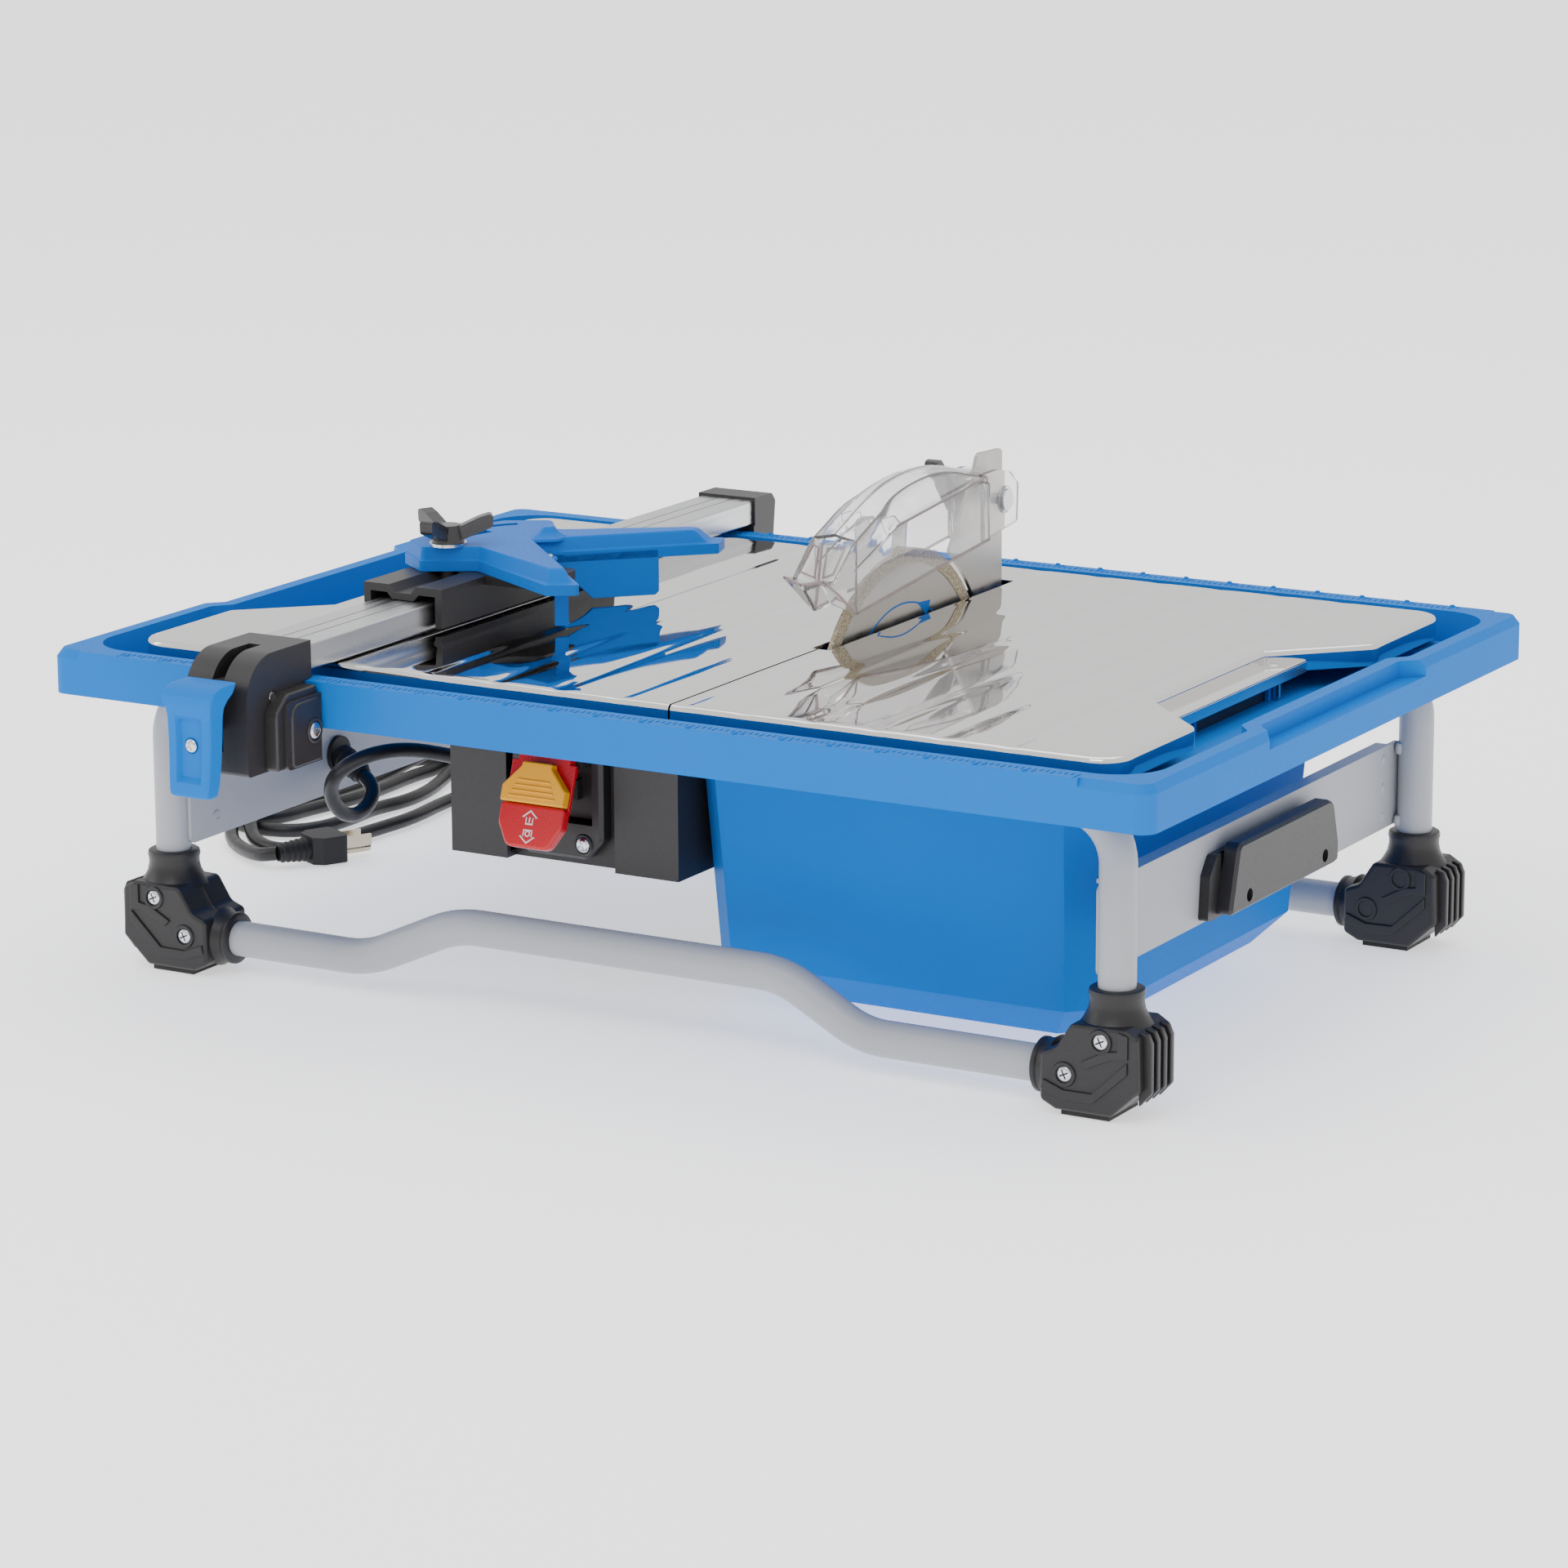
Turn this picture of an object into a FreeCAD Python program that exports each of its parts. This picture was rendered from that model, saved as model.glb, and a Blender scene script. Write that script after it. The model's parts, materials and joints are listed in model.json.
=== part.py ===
import FreeCAD, Part
import os, math
from FreeCAD import Vector as V, Placement, Rotation

# Tabletop wet tile saw. Millimetres. +X right (long side), +Y back, +Z up, floor at z = 0.
# All pieces are drawn about the centre of the pan; every finished piece then moves back by
# shift_y, so the origin is the middle of the footprint at floor level.

doc = FreeCAD.newDocument("tile_saw")
sheet = doc.addObject("Spreadsheet::Sheet", "dims")
DIM = dict(
    shift_y=24.9,
    pan_len=613.6, pan_dep=432.2, rim_top=169.3, rim_low=146.6, rim_front=12.7, rim_side=10.2,
    floor_low=148.0, floor_thick=3.0, tub_low=11.0, wall=2.6,
    table_len=552.0, table_dep=374.0, table_top_z=172.0, table_skirt=11.0, sheet_thick=1.5,
    post_x=268.2, post_y=169.95, tube_rad=9.0, tube_bore=7.6, low_run=18.0, high_run=145.0,
    hump_run=42.3, plate_x=257.0, plate_thick=2.0, plate_low=64.0, plate_high=107.0,
    foot_half=18.1, blade_x=39.0, blade_y=38.5, blade_z=119.0, blade_rad=89.0, core_rad=81.5,
    core_thick=1.8, rim_thick=2.4, arbor_rad=7.9, flange_rad=22.0, knife_thick=2.0,
    motor_left=123.0, motor_right=9.6, motor_front=133.0, motor_back=95.0, motor_low=69.0,
    rail_x=169.5, rail_wide=33.0, rail_low=172.8, rail_high=186.5, chan_wide=47.0,
    chan_low=174.3, chan_high=194.3, gauge_low=194.5, gauge_high=207.0, pivot_x=128.5, pivot_y=33.5,
    guard_half=12.5, guard_pivot_y=131.5, guard_pivot_z=219.7, cord_dia=7.8)
for i, (k, v) in enumerate(DIM.items(), 1):
    sheet.set("A%d" % i, k)
    sheet.set("B%d" % i, str(v))
    sheet.setAlias("B%d" % i, k)
doc.recompute()
G = {k: float(v) for k, v in DIM.items()}
SY = G["shift_y"]
FINAL = []          # (object, label)


def done(obj, label, moved=True):
    """Name a finished piece and set it in the frame."""
    obj.Label = label
    if moved:
        obj.setExpression("Placement.Base.y", "dims.shift_y + %.6f" % obj.Placement.Base.y)
    FINAL.append(obj)
    return obj


def rounded(pts):
    """Closed outline as edges. A point is (x, y) or (x, y, r) with r the corner radius."""
    n = len(pts)
    ends, arcs = [], []
    for i in range(n):
        p = pts[i]
        r = p[2] if len(p) > 2 else 0.0
        P = V(p[0], p[1], 0)
        if r <= 0:
            ends.append((P, P)); arcs.append(None); continue
        A = V(pts[i - 1][0], pts[i - 1][1], 0); B = V(pts[(i + 1) % n][0], pts[(i + 1) % n][1], 0)
        u = (A - P).normalize(); w = (B - P).normalize()
        ang = math.acos(max(-1, min(1, u.dot(w))))
        t = r / math.tan(ang / 2)
        s, e = P + u * t, P + w * t
        bis = (u + w).normalize()
        c = P + bis * (r / math.sin(ang / 2))
        m = c - bis * r
        ends.append((s, e)); arcs.append((s, m, e))
    out = []
    for i in range(n):
        if arcs[i]:
            out.append(Part.Arc(*arcs[i]))
        a, b = ends[i][1], ends[(i + 1) % n][0]
        if (a - b).Length > 1e-6:
            out.append(Part.LineSegment(a, b))
    return out


def rrect(x0, y0, x1, y1, r=0.0):
    if r <= 0:
        return [(x0, y0), (x1, y0), (x1, y1), (x0, y1)]
    return [(x0, y0, r), (x1, y0, r), (x1, y1, r), (x0, y1, r)]


def sketch(body, name, plane, loops, at):
    sk = body.newObject("Sketcher::SketchObject", name)
    role = {"XY": "XY_Plane", "XZ": "XZ_Plane", "YZ": "YZ_Plane"}[plane]
    org = [f for f in body.Origin.OriginFeatures if f.Role == role][0]
    sk.AttachmentSupport = [(org, "")]
    sk.MapMode = "FlatFace"
    sk.AttachmentOffset = Placement(V(0, 0, at), Rotation())
    for lp in loops:
        if lp[0] == "c":
            sk.addGeometry(Part.Circle(V(lp[1], lp[2], 0), V(0, 0, 1), lp[3]), False)
        else:
            for g in rounded(lp):
                sk.addGeometry(g, False)
    return sk


class Solid:
    """A PartDesign body grown from sketches on its own origin planes.
    Plane XY pads towards +Z, YZ towards +X, XZ towards -Y; 'at' is the offset along that way."""

    def __init__(self, name):
        self.b = doc.addObject("PartDesign::Body", "Body_" + name)
        self.name = name; self.k = 0; self.vol = 0.0

    def _f(self, kind, plane, loops, at, length, expr=None, taper=0.0):
        self.k += 1
        sk = sketch(self.b, "Sk_%s_%d" % (self.name, self.k), plane, loops, at)
        f = self.b.newObject("PartDesign::" + kind, "%s_%s_%d" % (kind, self.name, self.k))
        f.Profile = sk
        f.Length = length
        if expr:
            f.setExpression("Length", expr)
        if taper:
            f.TaperAngle = taper
        if kind == "Pocket":
            f.Reversed = True
        sk.Visibility = False
        doc.recompute()
        v = self.b.Shape.Volume
        if (kind == "Pad" and v <= self.vol + 1e-6) or (kind == "Pocket" and v >= self.vol - 1e-6):
            raise RuntimeError("%s %d changed nothing (%g to %g)" % (self.name, self.k, self.vol, v))
        self.vol = v
        return f

    def pad(self, plane, loops, at, length, expr=None, taper=0.0):
        self._f("Pad", plane, loops, at, length, expr, taper); return self

    def cut(self, plane, loops, at, length, expr=None):
        self._f("Pocket", plane, loops, at, length, expr); return self

    def chamfer(self, size, pick):
        tip = self.b.Tip
        names = ["Edge%d" % (i + 1) for i, e in enumerate(tip.Shape.Edges) if pick(e)]
        f = self.b.newObject("PartDesign::Chamfer", "Chamfer_%s_%d" % (self.name, self.k))
        f.Base = (tip, names); f.Size = size
        doc.recompute()
        if "Invalid" in f.State or f.Shape.isNull() or not f.Shape.isValid():
            raise RuntimeError("chamfer failed on " + self.name)
        self.vol = self.b.Shape.Volume
        return self

    def done(self, label):
        return done(self.b, label)


def box(x0, x1, y0, y1, z0, z1, ex=None):
    o = doc.addObject("Part::Box", "Box")
    o.Length, o.Width, o.Height = x1 - x0, y1 - y0, z1 - z0
    o.Placement = Placement(V(x0, y0, z0), Rotation())
    for p, e in (ex or {}).items():
        o.setExpression(p, e)
    return o


def cyl(axis, c, r, a, b, ex=None):
    """Cylinder along axis from a to b; c is the centre in the other two coordinates."""
    o = doc.addObject("Part::Cylinder", "Cyl")
    o.Radius, o.Height = r, b - a
    if axis == "X":
        o.Placement = Placement(V(a, c[0], c[1]), Rotation(V(0, 1, 0), 90))
    elif axis == "Y":
        o.Placement = Placement(V(c[0], a, c[1]), Rotation(V(1, 0, 0), -90))
    else:
        o.Placement = Placement(V(c[0], c[1], a), Rotation())
    for p, e in (ex or {}).items():
        o.setExpression(p, e)
    return o


def cut(a, b):
    o = doc.addObject("Part::Cut", "Cut"); o.Base = a; o.Tool = b; return o


def fuse(*s):
    if len(s) == 1:
        return s[0]
    o = doc.addObject("Part::MultiFuse", "Fuse"); o.Shapes = list(s); return o


def group(shapes, label):
    """Separate identical pieces kept in one node."""
    o = doc.addObject("Part::Compound", "Group_" + label)
    o.Links = list(shapes)
    return done(o, label)


def raw(shape, label):
    o = doc.addObject("Part::Feature", "Raw_" + label)
    at = shape.Placement
    o.Shape = shape
    o.Placement = at
    done(o, label, False)
    o.setExpression("Placement.Base.y", "dims.shift_y + %.6f" % at.Base.y)
    return o


def arc_path(pts, radii=None, closed=False, report=None):
    """Straight runs joined by tangent arcs. Default radius: 0.45 of the shorter run over tan(half turn)."""
    pts = [V(*p) for p in pts]
    edges, prev = [], pts[0]
    out = []
    for i in range(1, len(pts) - 1):
        a, p, b = pts[i - 1], pts[i], pts[i + 1]
        u = (a - p); w = (b - p)
        la, lb = u.Length, w.Length
        u.normalize(); w.normalize()
        turn = math.pi - math.acos(max(-1, min(1, u.dot(w))))
        r = radii[i - 1] if radii else 0.45 * min(la, lb) / math.tan(turn / 2)
        t = r * math.tan(turn / 2)
        s, e = p + u * t, p + w * t
        bis = (u + w).normalize()
        m = p + bis * (r / math.cos(turn / 2) - r)
        if (s - prev).Length > 1e-6:
            edges.append(Part.LineSegment(prev, s).toShape())
        edges.append(Part.Arc(s, m, e).toShape())
        prev = e
        out.append((round(r, 1), round(math.degrees(turn))))
    edges.append(Part.LineSegment(prev, pts[-1]).toShape())
    if report:
        print(report, "radius, turn:", out)
    return Part.Wire(edges)


def sweep(wire, r_out, r_in=0.0):
    p0 = wire.Edges[0].Vertexes[0].Point
    d = wire.Edges[0].tangentAt(wire.Edges[0].FirstParameter)

    def tube(r):
        c = Part.Wire([Part.Circle(p0, d, r).toShape()])
        return wire.makePipeShell([c], True, False)
    s = tube(r_out)
    if r_in > 0:
        s = s.cut(tube(r_in))
    want = math.pi * (r_out ** 2 - r_in ** 2) * wire.Length
    got = s.Volume
    if not s.isValid() or abs(got / want - 1) > 0.01:
        raise RuntimeError("sweep volume %g, wanted %g" % (got, want))
    return s


def prism(pts_loop, frm, direction):
    """Extruded rounded outline: pts in a plane given by frm(x, y) -> Vector."""
    edges = []
    for g in rounded(pts_loop):
        if isinstance(g, Part.Arc):
            e = g.toShape()
            q = [e.valueAt(e.FirstParameter), e.valueAt((e.FirstParameter + e.LastParameter) / 2), e.valueAt(e.LastParameter)]
            edges.append(Part.Arc(*[frm(p.x, p.y) for p in q]).toShape())
        else:
            edges.append(Part.LineSegment(frm(g.StartPoint.x, g.StartPoint.y), frm(g.EndPoint.x, g.EndPoint.y)).toShape())
    return Part.Face(Part.Wire(Part.__sortEdges__(edges))).extrude(V(*direction))


def xy(z):
    return lambda a, b: V(a, b, z)


def xz(y):
    return lambda a, b: V(a, y, b)


def yz(x):
    return lambda a, b: V(x, a, b)


# ---------------------------------------------------------------- pan: rim tray and water tub in one moulding
HW, HD = G["pan_len"] / 2, G["pan_dep"] / 2
ZT, ZL = G["rim_top"], G["rim_low"]
IW, ID = HW - G["rim_side"], HD - G["rim_front"]
TW = G["wall"]


def section(x0, x1, y0, y1, z, c):
    """Eight-cornered tub section with cut corners of size c."""
    p = [(x0 + c, y0), (x1 - c, y0), (x1, y0 + c), (x1, y1 - c), (x1 - c, y1), (x0 + c, y1), (x0, y1 - c), (x0, y0 + c)]
    q = [V(a, b, z) for a, b in p]
    return Part.makePolygon(q + [q[0]])


pan = prism(rrect(-HW, -HD, HW, HD, 8), xy(ZL), (0, 0, ZT - 4.2 - ZL))
low_face = Part.Face(Part.Wire(Part.__sortEdges__([g.toShape() for g in rounded(rrect(-HW, -HD, HW, HD, 8))])))
hi_face = Part.Face(Part.Wire(Part.__sortEdges__([g.toShape() for g in rounded(rrect(-HW + 2.8, -HD + 2.8, HW - 2.8, HD - 2.8, 6.5))])))
w0 = low_face.OuterWire.copy(); w0.translate(V(0, 0, ZT - 4.2))
w1 = hi_face.OuterWire.copy(); w1.translate(V(0, 0, ZT))
pan = pan.fuse(Part.makeLoft([w0, w1], True, True))
# square-edged rule strips along the front and back rims
pan = pan.fuse(Part.makeBox(560, 8, 4.2, V(-290, -HD, ZT - 4.2)))
pan = pan.fuse(Part.makeBox(470, 8, 4.2, V(-180, HD - 8, ZT - 4.2)))
# basin, with the side rims widened behind each hand recess
basin = [(-IW, -ID, 26), (IW, -ID, 26), (IW, -93, 6), (IW - 8, -84, 6), (IW - 8, 84, 6), (IW, 93, 6), (IW, ID, 26),
         (-IW, ID, 26), (-IW, 93, 6), (-IW + 8, 84, 6), (-IW + 8, -84, 6), (-IW, -93, 6)]
FZ = G["floor_low"] + G["floor_thick"]
pan = pan.cut(prism(basin, xy(FZ), (0, 0, 40)))
# underside of the rim is hollow
inner = [(-IW + 6, -ID + 8, 24), (IW - 6, -ID + 8, 24), (IW - 6, ID - 8, 24), (-IW + 6, ID - 8, 24)]
pan = pan.cut(prism(inner, xy(ZL - 1), (0, 0, G["floor_low"] - ZL + 1)))
ring = prism(rrect(-HW + 3, -HD + 3, HW - 3, HD - 3, 6), xy(ZL - 1), (0, 0, 11.5))
ring = ring.cut(prism(rrect(-IW - 3, -ID - 3, IW + 3, ID + 3, 22), xy(ZL - 2), (0, 0, 20)))
pan = pan.cut(ring)
# hand recesses in the outer faces of both side rims
for s in (-1, 1):
    pan = pan.cut(prism([(s * (HW + 2), -93), (s * (HW + 2), 93), (s * 296.6, 80), (s * 296.6, -80)], xy(160.8), (0, 0, 20)))
# humps in the floor over the two upper frame tubes and over the motor
for s in (-1, 1):
    pan = pan.fuse(Part.makeBox(556, 26, 157.6 - FZ + 1, V(-278, s * G["post_y"] - 13, FZ - 1)))
    pan = pan.cut(Part.makeBox(552, 21, 155.6 - ZL + 1, V(-276, s * G["post_y"] - 10.5, ZL - 1)))
pan = pan.fuse(Part.makeBox(121, 92, 166.6 - FZ + 1, V(-111, -7.5, FZ - 1)))
# tub
tub_out = Part.makeLoft([section(31, 212, -101, 104, 11, 10), section(15.5, 227.5, -116, 119.5, 27, 14), section(10, 231, -126, 140, 149, 14)], True, True)
tub_in = Part.makeLoft([section(31 + 2, 212 - 2, -99, 102, 13.6, 10), section(15.5 + TW, 227.5 - TW, -116 + TW, 119.5 - TW, 28.5, 13), section(10 + TW, 231 - TW, -126 + TW, 140 - TW, 149, 13), section(10 + TW, 231 - TW, -126 + TW, 140 - TW, 151.5, 13)], True, True)
pan = pan.fuse(tub_out)
pan = pan.cut(tub_in)
# pocket at the back of the tub for the riving knife's foot
pan = pan.fuse(Part.makeBox(36, 28, 31, V(27, 129, 118)).cut(tub_in))
pan = pan.cut(Part.makeBox(30.8, 30, 32, V(29.6, 123.4, 120.6)))
# motor hump is open underneath, arbor hole through the tub's left wall
pan = pan.cut(Part.makeBox(115.4, 87, 164.6 - ZL + 1, V(-108.2, -5, ZL - 1)).cut(Part.makeBox(30, 120, 60, V(7.4, -20, 130))))
pan = pan.cut(Part.makeCylinder(15.2, 20, V(0, G["blade_y"], G["blade_z"]), V(1, 0, 0)))
# table posts and the two ribs that hold the splash baffle
for px_, py_ in ((-240, -140), (-240, 140), (240, -140), (243, 140), (-60, -140), (-60, 140)):
    pan = pan.fuse(Part.makeBox(10, 10, 170.3 - FZ + 1, V(px_ - 5, py_ - 5, FZ - 1)))
for py_ in (-43, 41):
    pan = pan.fuse(Part.makeBox(5, 3, 14, V(239.5, py_, FZ - 1)))
pan = pan.removeSplitter()
raw(pan, "pan")

# ---------------------------------------------------------------- stainless table
TZ, SK, TT = G["table_top_z"], G["table_skirt"], G["sheet_thick"]
TL, TD = G["table_len"] / 2, G["table_dep"] / 2
outline = [(-TL, -TD, 16), (TL, -TD, 16), (TL, -106, 6), (235, -66, 8), (235, 58, 8), (TL, 100, 8), (TL, TD, 16),
           (-TL, TD, 16), (-TL, 100, 8), (-235, 58, 8), (-235, -66, 8), (-TL, -106, 6)]


def inset(pts, d):
    q = []
    for p in pts:
        sx = 1 if p[0] > 0 else -1
        sy = 1 if p[1] > 0 else -1
        q.append((p[0] - sx * d, p[1] - (sy * d if abs(p[1]) > 150 else 0), max(p[2] - d, 2)))
    return q


tab = Solid("table")
tab.pad("XY", [outline], TZ - SK, SK, "dims.table_skirt")
tab.cut("XY", [inset(outline, TT)], TZ - SK, SK - TT, "dims.table_skirt - dims.sheet_thick")
# pressed ledge in each side notch
for s in (-1, 1):
    L = [(s * 233.9, -82), (s * 250, -82, 3), (s * 250, 78, 3), (s * 233.9, 78)]
    tab.pad("XY", [L], 165.2, 1.5)
    tab.pad("XY", [[(s * 248.5, -80), (s * 250, -80), (s * 250, 76), (s * 248.5, 76)]], 160.0, 5.4)
tab.cut("XY", [rrect(34, -44, 44.4, 153, 1.5)], 155, 25)
tab.cut("XY", [rrect(37.2, -TD - 1, 38.3, -43.5)], 155, 25)
tab.done("table_top")

# ---------------------------------------------------------------- tubular frame
PX, PY, TR = G["post_x"], G["post_y"], G["tube_rad"]
HI, LO, HU = G["high_run"], G["low_run"], G["hump_run"]
for nm, s in (("front", -1), ("rear", 1)):
    y = s * PY
    w = arc_path([(-PX, y, 28), (-PX, y, HI), (PX, y, HI), (PX, y, 28)], radii=[26, 26])
    raw(sweep(w, TR, G["tube_bore"]), "upper_tube_" + nm)
    w = arc_path([(-256, y, LO), (-150, y, LO), (-96, y, HU), (90, y, HU), (134, y, LO), (256, y, LO)], radii=[60, 60, 52, 45])
    raw(sweep(w, TR, G["tube_bore"]), "lower_tube_" + nm)

for nm, s in (("left", -1), ("right", 1)):
    p = Solid("plate_" + nm)
    x0 = s * G["plate_x"] if s > 0 else s * G["plate_x"] - 2
    loops = [rrect(-PY, 64, PY, 107, 3)]
    if s > 0:
        loops.append(rrect(-46, 76, 48, 93, 6))
    else:
        loops.append(("c", -39.3, 84.3, 5.6))
    p.pad("YZ", loops, x0, 2.0, "dims.plate_thick")
    # stiffening hems bent inwards
    hx = s * G["plate_x"] - (6 if s > 0 else 0)
    p.pad("YZ", [rrect(-PY + 12, 105, PY - 12, 107)], hx, 6)
    p.done("side_plate_" + nm)

# two-part plastic feet, clamped round the tube ends
for fx, sx in (("left", -1), ("right", 1)):
    for fy, sy in (("front", -1), ("rear", 1)):
        c = sx * PX
        prof = [(-12.6, 60.5, 2), (12.6, 60.5, 2), (13.2, 55), (19.6, 44.5, 2), (20.4, 16.5, 2), (5.5, 2.6, 2), (-23, 2.6, 2), (-34, 5.5, 2), (-38.8, 8.5), (-38.8, 29.5, 1), (-30, 31, 10), (-16, 44, 12), (-12.6, 52)]
        body = [(-12.6, 46, 3), (12.0, 46), (19.6, 42), (20.4, 16.5, 2), (5.5, 2.6, 2), (-23, 2.6, 2), (-30, 6), (-30, 26, 4), (-14, 42, 8)]
        pts = [(c + sx * q[0],) + tuple(q[1:]) for q in prof]
        big = [(c + sx * q[0],) + tuple(q[1:]) for q in body]
        for half, hs in (("inner", -sy), ("outer", sy)):
            y0 = sy * PY + hs * 0.05
            d1, d2 = hs * 13.2, hs * G["foot_half"]
            s1 = prism(pts, xz(y0), (0, d1, 0))
            s2 = prism(big, xz(y0), (0, d2, 0))
            sh = s1.fuse(s2)
            sh = sh.cut(Part.makeCylinder(TR + 0.1, 50, V(c, sy * PY, 27.9), V(0, 0, 1)))
            sh = sh.cut(Part.makeCylinder(TR + 0.1, 50, V(c - sx * 12.1, sy * PY, LO), V(-sx, 0, 0)))
            if hs == sy:
                for u, z in ((0.5, 38.3), (-18.0, 20.4)):
                    sh = sh.cut(Part.makeCylinder(4.2, 5, V(c + sx * u, sy * PY + sy * 16.6, z), V(0, sy, 0)))
                    sh = sh.cut(Part.makeCylinder(1.75, 9, V(c + sx * u, sy * PY + sy * 10, z), V(0, sy, 0)))
            raw(sh.removeSplitter(), "foot_%s_%s_%s" % (fx, fy, half))
scr, pads = [], []
for sx in (-1, 1):
    for sy in (-1, 1):
        c = sx * PX
        for u, z in ((0.5, 38.3), (-18.0, 20.4)):
            q = sy * PY
            a, b = sorted((q + sy * 10.3, q + sy * 16.7))
            h0, h1 = sorted((q + sy * 16.65, q + sy * 18.6))
            scr.append(fuse(cyl("Y", (c + sx * u, z), 1.7, a, b), cyl("Y", (c + sx * u, z), 3.9, h0, h1)))
        x0, x1 = sorted((c - sx * 21, c + sx * 4))
        pads.append(box(x0, x1, sy * PY - 15, sy * PY + 15, 0, 2.5))
group(pads, "foot_pads")

# carry grip clamped over the window in the right side plate
gi = Solid("grip_in")
gi.pad("YZ", [[(-66, 66, 2), (58, 66, 2), (58, 93, 4), (50, 97, 3), (-57, 97, 3), (-64, 88, 3)]], 259.1, 5.2)
gi.cut("YZ", [rrect(-52, 74, 50, 98.5)], 262.2, 3)
gi.done("handle_inner")
go = Solid("grip_out")
go.pad("YZ", [[(-57.5, 67.5, 3), (67, 67.5, 3), (67, 78), (61, 99, 3), (55, 101.5, 3), (-48, 101.5, 5)]], 264.4, 8.0)
go.cut("YZ", [("c", -36.5, 74, 3.3), ("c", 50.6, 74, 3.3)], 266, 10)
go.chamfer(1.6, lambda e: all(abs(v.Point.x - 272.4) < 1e-4 for v in e.Vertexes) and len(e.Vertexes) == 2)
go.done("handle_outer")
scr += [cyl("X", (-36.5, 74), 2.9, 266.05, 268.6), cyl("X", (50.6, 74), 2.9, 266.05, 268.6)]

# ---------------------------------------------------------------- motor and its box
ML, MR, MF, MB, MZ = -G["motor_left"], G["motor_right"], -G["motor_front"], G["motor_back"], G["motor_low"]
BY, BZ = G["blade_y"], G["blade_z"]
case = Part.makeBox(MR - ML, MB - MF, 147.8 - MZ, V(ML, MF, MZ)).fuse(Part.makeBox(111, 80, 20, V(-106, -1.5, 144)))
case = case.cut(Part.makeBox(MR - ML - 6, MB - MF - 6, 147.8 - MZ - 6, V(ML + 3, MF + 3, MZ + 3)))
case = case.cut(Part.makeBox(105, 74, 20, V(-103, 1.5, 141)))
# recessed front bay for the switch
case = case.cut(Part.makeBox(63, 8, 100, V(-90, MF - 0.01, MZ - 1)))
case = case.fuse(Part.makeBox(63, 3, 147.8 - MZ, V(-90, MF + 7.99, MZ)))
# bearing bosses
for bx, bw in ((-113.5, 9.5), (-4, MR + 4)):
    case = case.fuse(Part.makeBox(bw, 60, 76, V(bx, BY - 30, MZ + 1)))
    case = case.cut(Part.makeCylinder(16.05, bw + 2, V(bx - 1, BY, BZ), V(1, 0, 0)))
case = case.cut(Part.makeBox(41.2, 12, 33.2, V(-80.6, MF + 7, 91.4)))
for k in range(6):
    case = case.cut(Part.makeBox(36, 3, 8, V(-88, 12 + 9 * k, MZ - 2)))
case = case.removeSplitter()
raw(case, "motor_housing")
raw(Part.makeCylinder(38, 50, V(-85, BY, BZ), V(1, 0, 0)).cut(Part.makeCylinder(21.5, 60, V(-90, BY, BZ), V(1, 0, 0))), "stator_core")
wd = []
for x in (-98, -34.9):
    wd.append(cut(cyl("X", (BY, BZ), 35, x, x + 12.9), cyl("X", (BY, BZ), 24, x - 1, x + 14)))
group(wd, "stator_windings")
group([cut(cyl("X", (BY, BZ), 16, -113.5, -104.0), cyl("X", (BY, BZ), 7.95, -114, -103)),
       cut(cyl("X", (BY, BZ), 16, -3.9, 6.1), cyl("X", (BY, BZ), 7.95, -5, 7))], "shaft_bearings")
done(cut(cyl("X", (BY, BZ), 15, 9.8, 14.6), cyl("X", (BY, BZ), 8.0, 9, 16)), "shaft_seal")

# ---------------------------------------------------------------- rotating set: shaft, rotor, fan, flanges, blade
BX = G["blade_x"]
sh = fuse(cyl("X", (BY, BZ), 7.9, -114, 58, {"Radius": "dims.arbor_rad"}))
done(sh, "arbor_shaft")
done(cut(cyl("X", (BY, BZ), 20.9, -85, -35), cyl("X", (BY, BZ), 7.95, -90, -30)), "rotor_core")
fan = cyl("X", (BY, BZ), 12, -20, -10)
fan = cut(fan, cyl("X", (BY, BZ), 7.95, -21, -9))
bl = [fan]
for k in range(9):
    b = box(-20, -11, -1.1, 1.1, 11.5, 31)
    b.Placement = Placement(V(0, BY, BZ), Rotation(V(1, 0, 0), 40 * k)).multiply(Placement(V(-20, -1.1, 11.5), Rotation()))
    bl.append(b)
done(fuse(*bl), "cooling_fan")
core = cut(cyl("X", (BY, BZ), G["core_rad"], BX - 0.9, BX + 0.9, {"Radius": "dims.core_rad"}), cyl("X", (BY, BZ), 7.95, BX - 2, BX + 2))
done(core, "blade_core")
rim = cut(cyl("X", (BY, BZ), 89, BX - 1.2, BX + 1.2, {"Radius": "dims.blade_rad"}), cyl("X", (BY, BZ), G["core_rad"] + 0.02, BX - 3, BX + 3))
done(rim, "diamond_rim")
group([cut(cyl("X", (BY, BZ), 22, 31.5, BX - 0.95, {"Radius": "dims.flange_rad"}), cyl("X", (BY, BZ), 7.95, 29, 40)),
       cut(cyl("X", (BY, BZ), 22, BX + 0.95, 45, {"Radius": "dims.flange_rad"}), cyl("X", (BY, BZ), 7.95, 38, 46))], "blade_flanges")
nut = doc.addObject("Part::Prism", "Nut")
nut.Polygon = 6; nut.Circumradius = 15.5; nut.Height = 9
nut.Placement = Placement(V(45.05, BY, BZ), Rotation(V(0, 1, 0), 90))
done(cut(nut, cyl("X", (BY, BZ), 7.95, 44, 56)), "arbor_nut")

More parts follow.
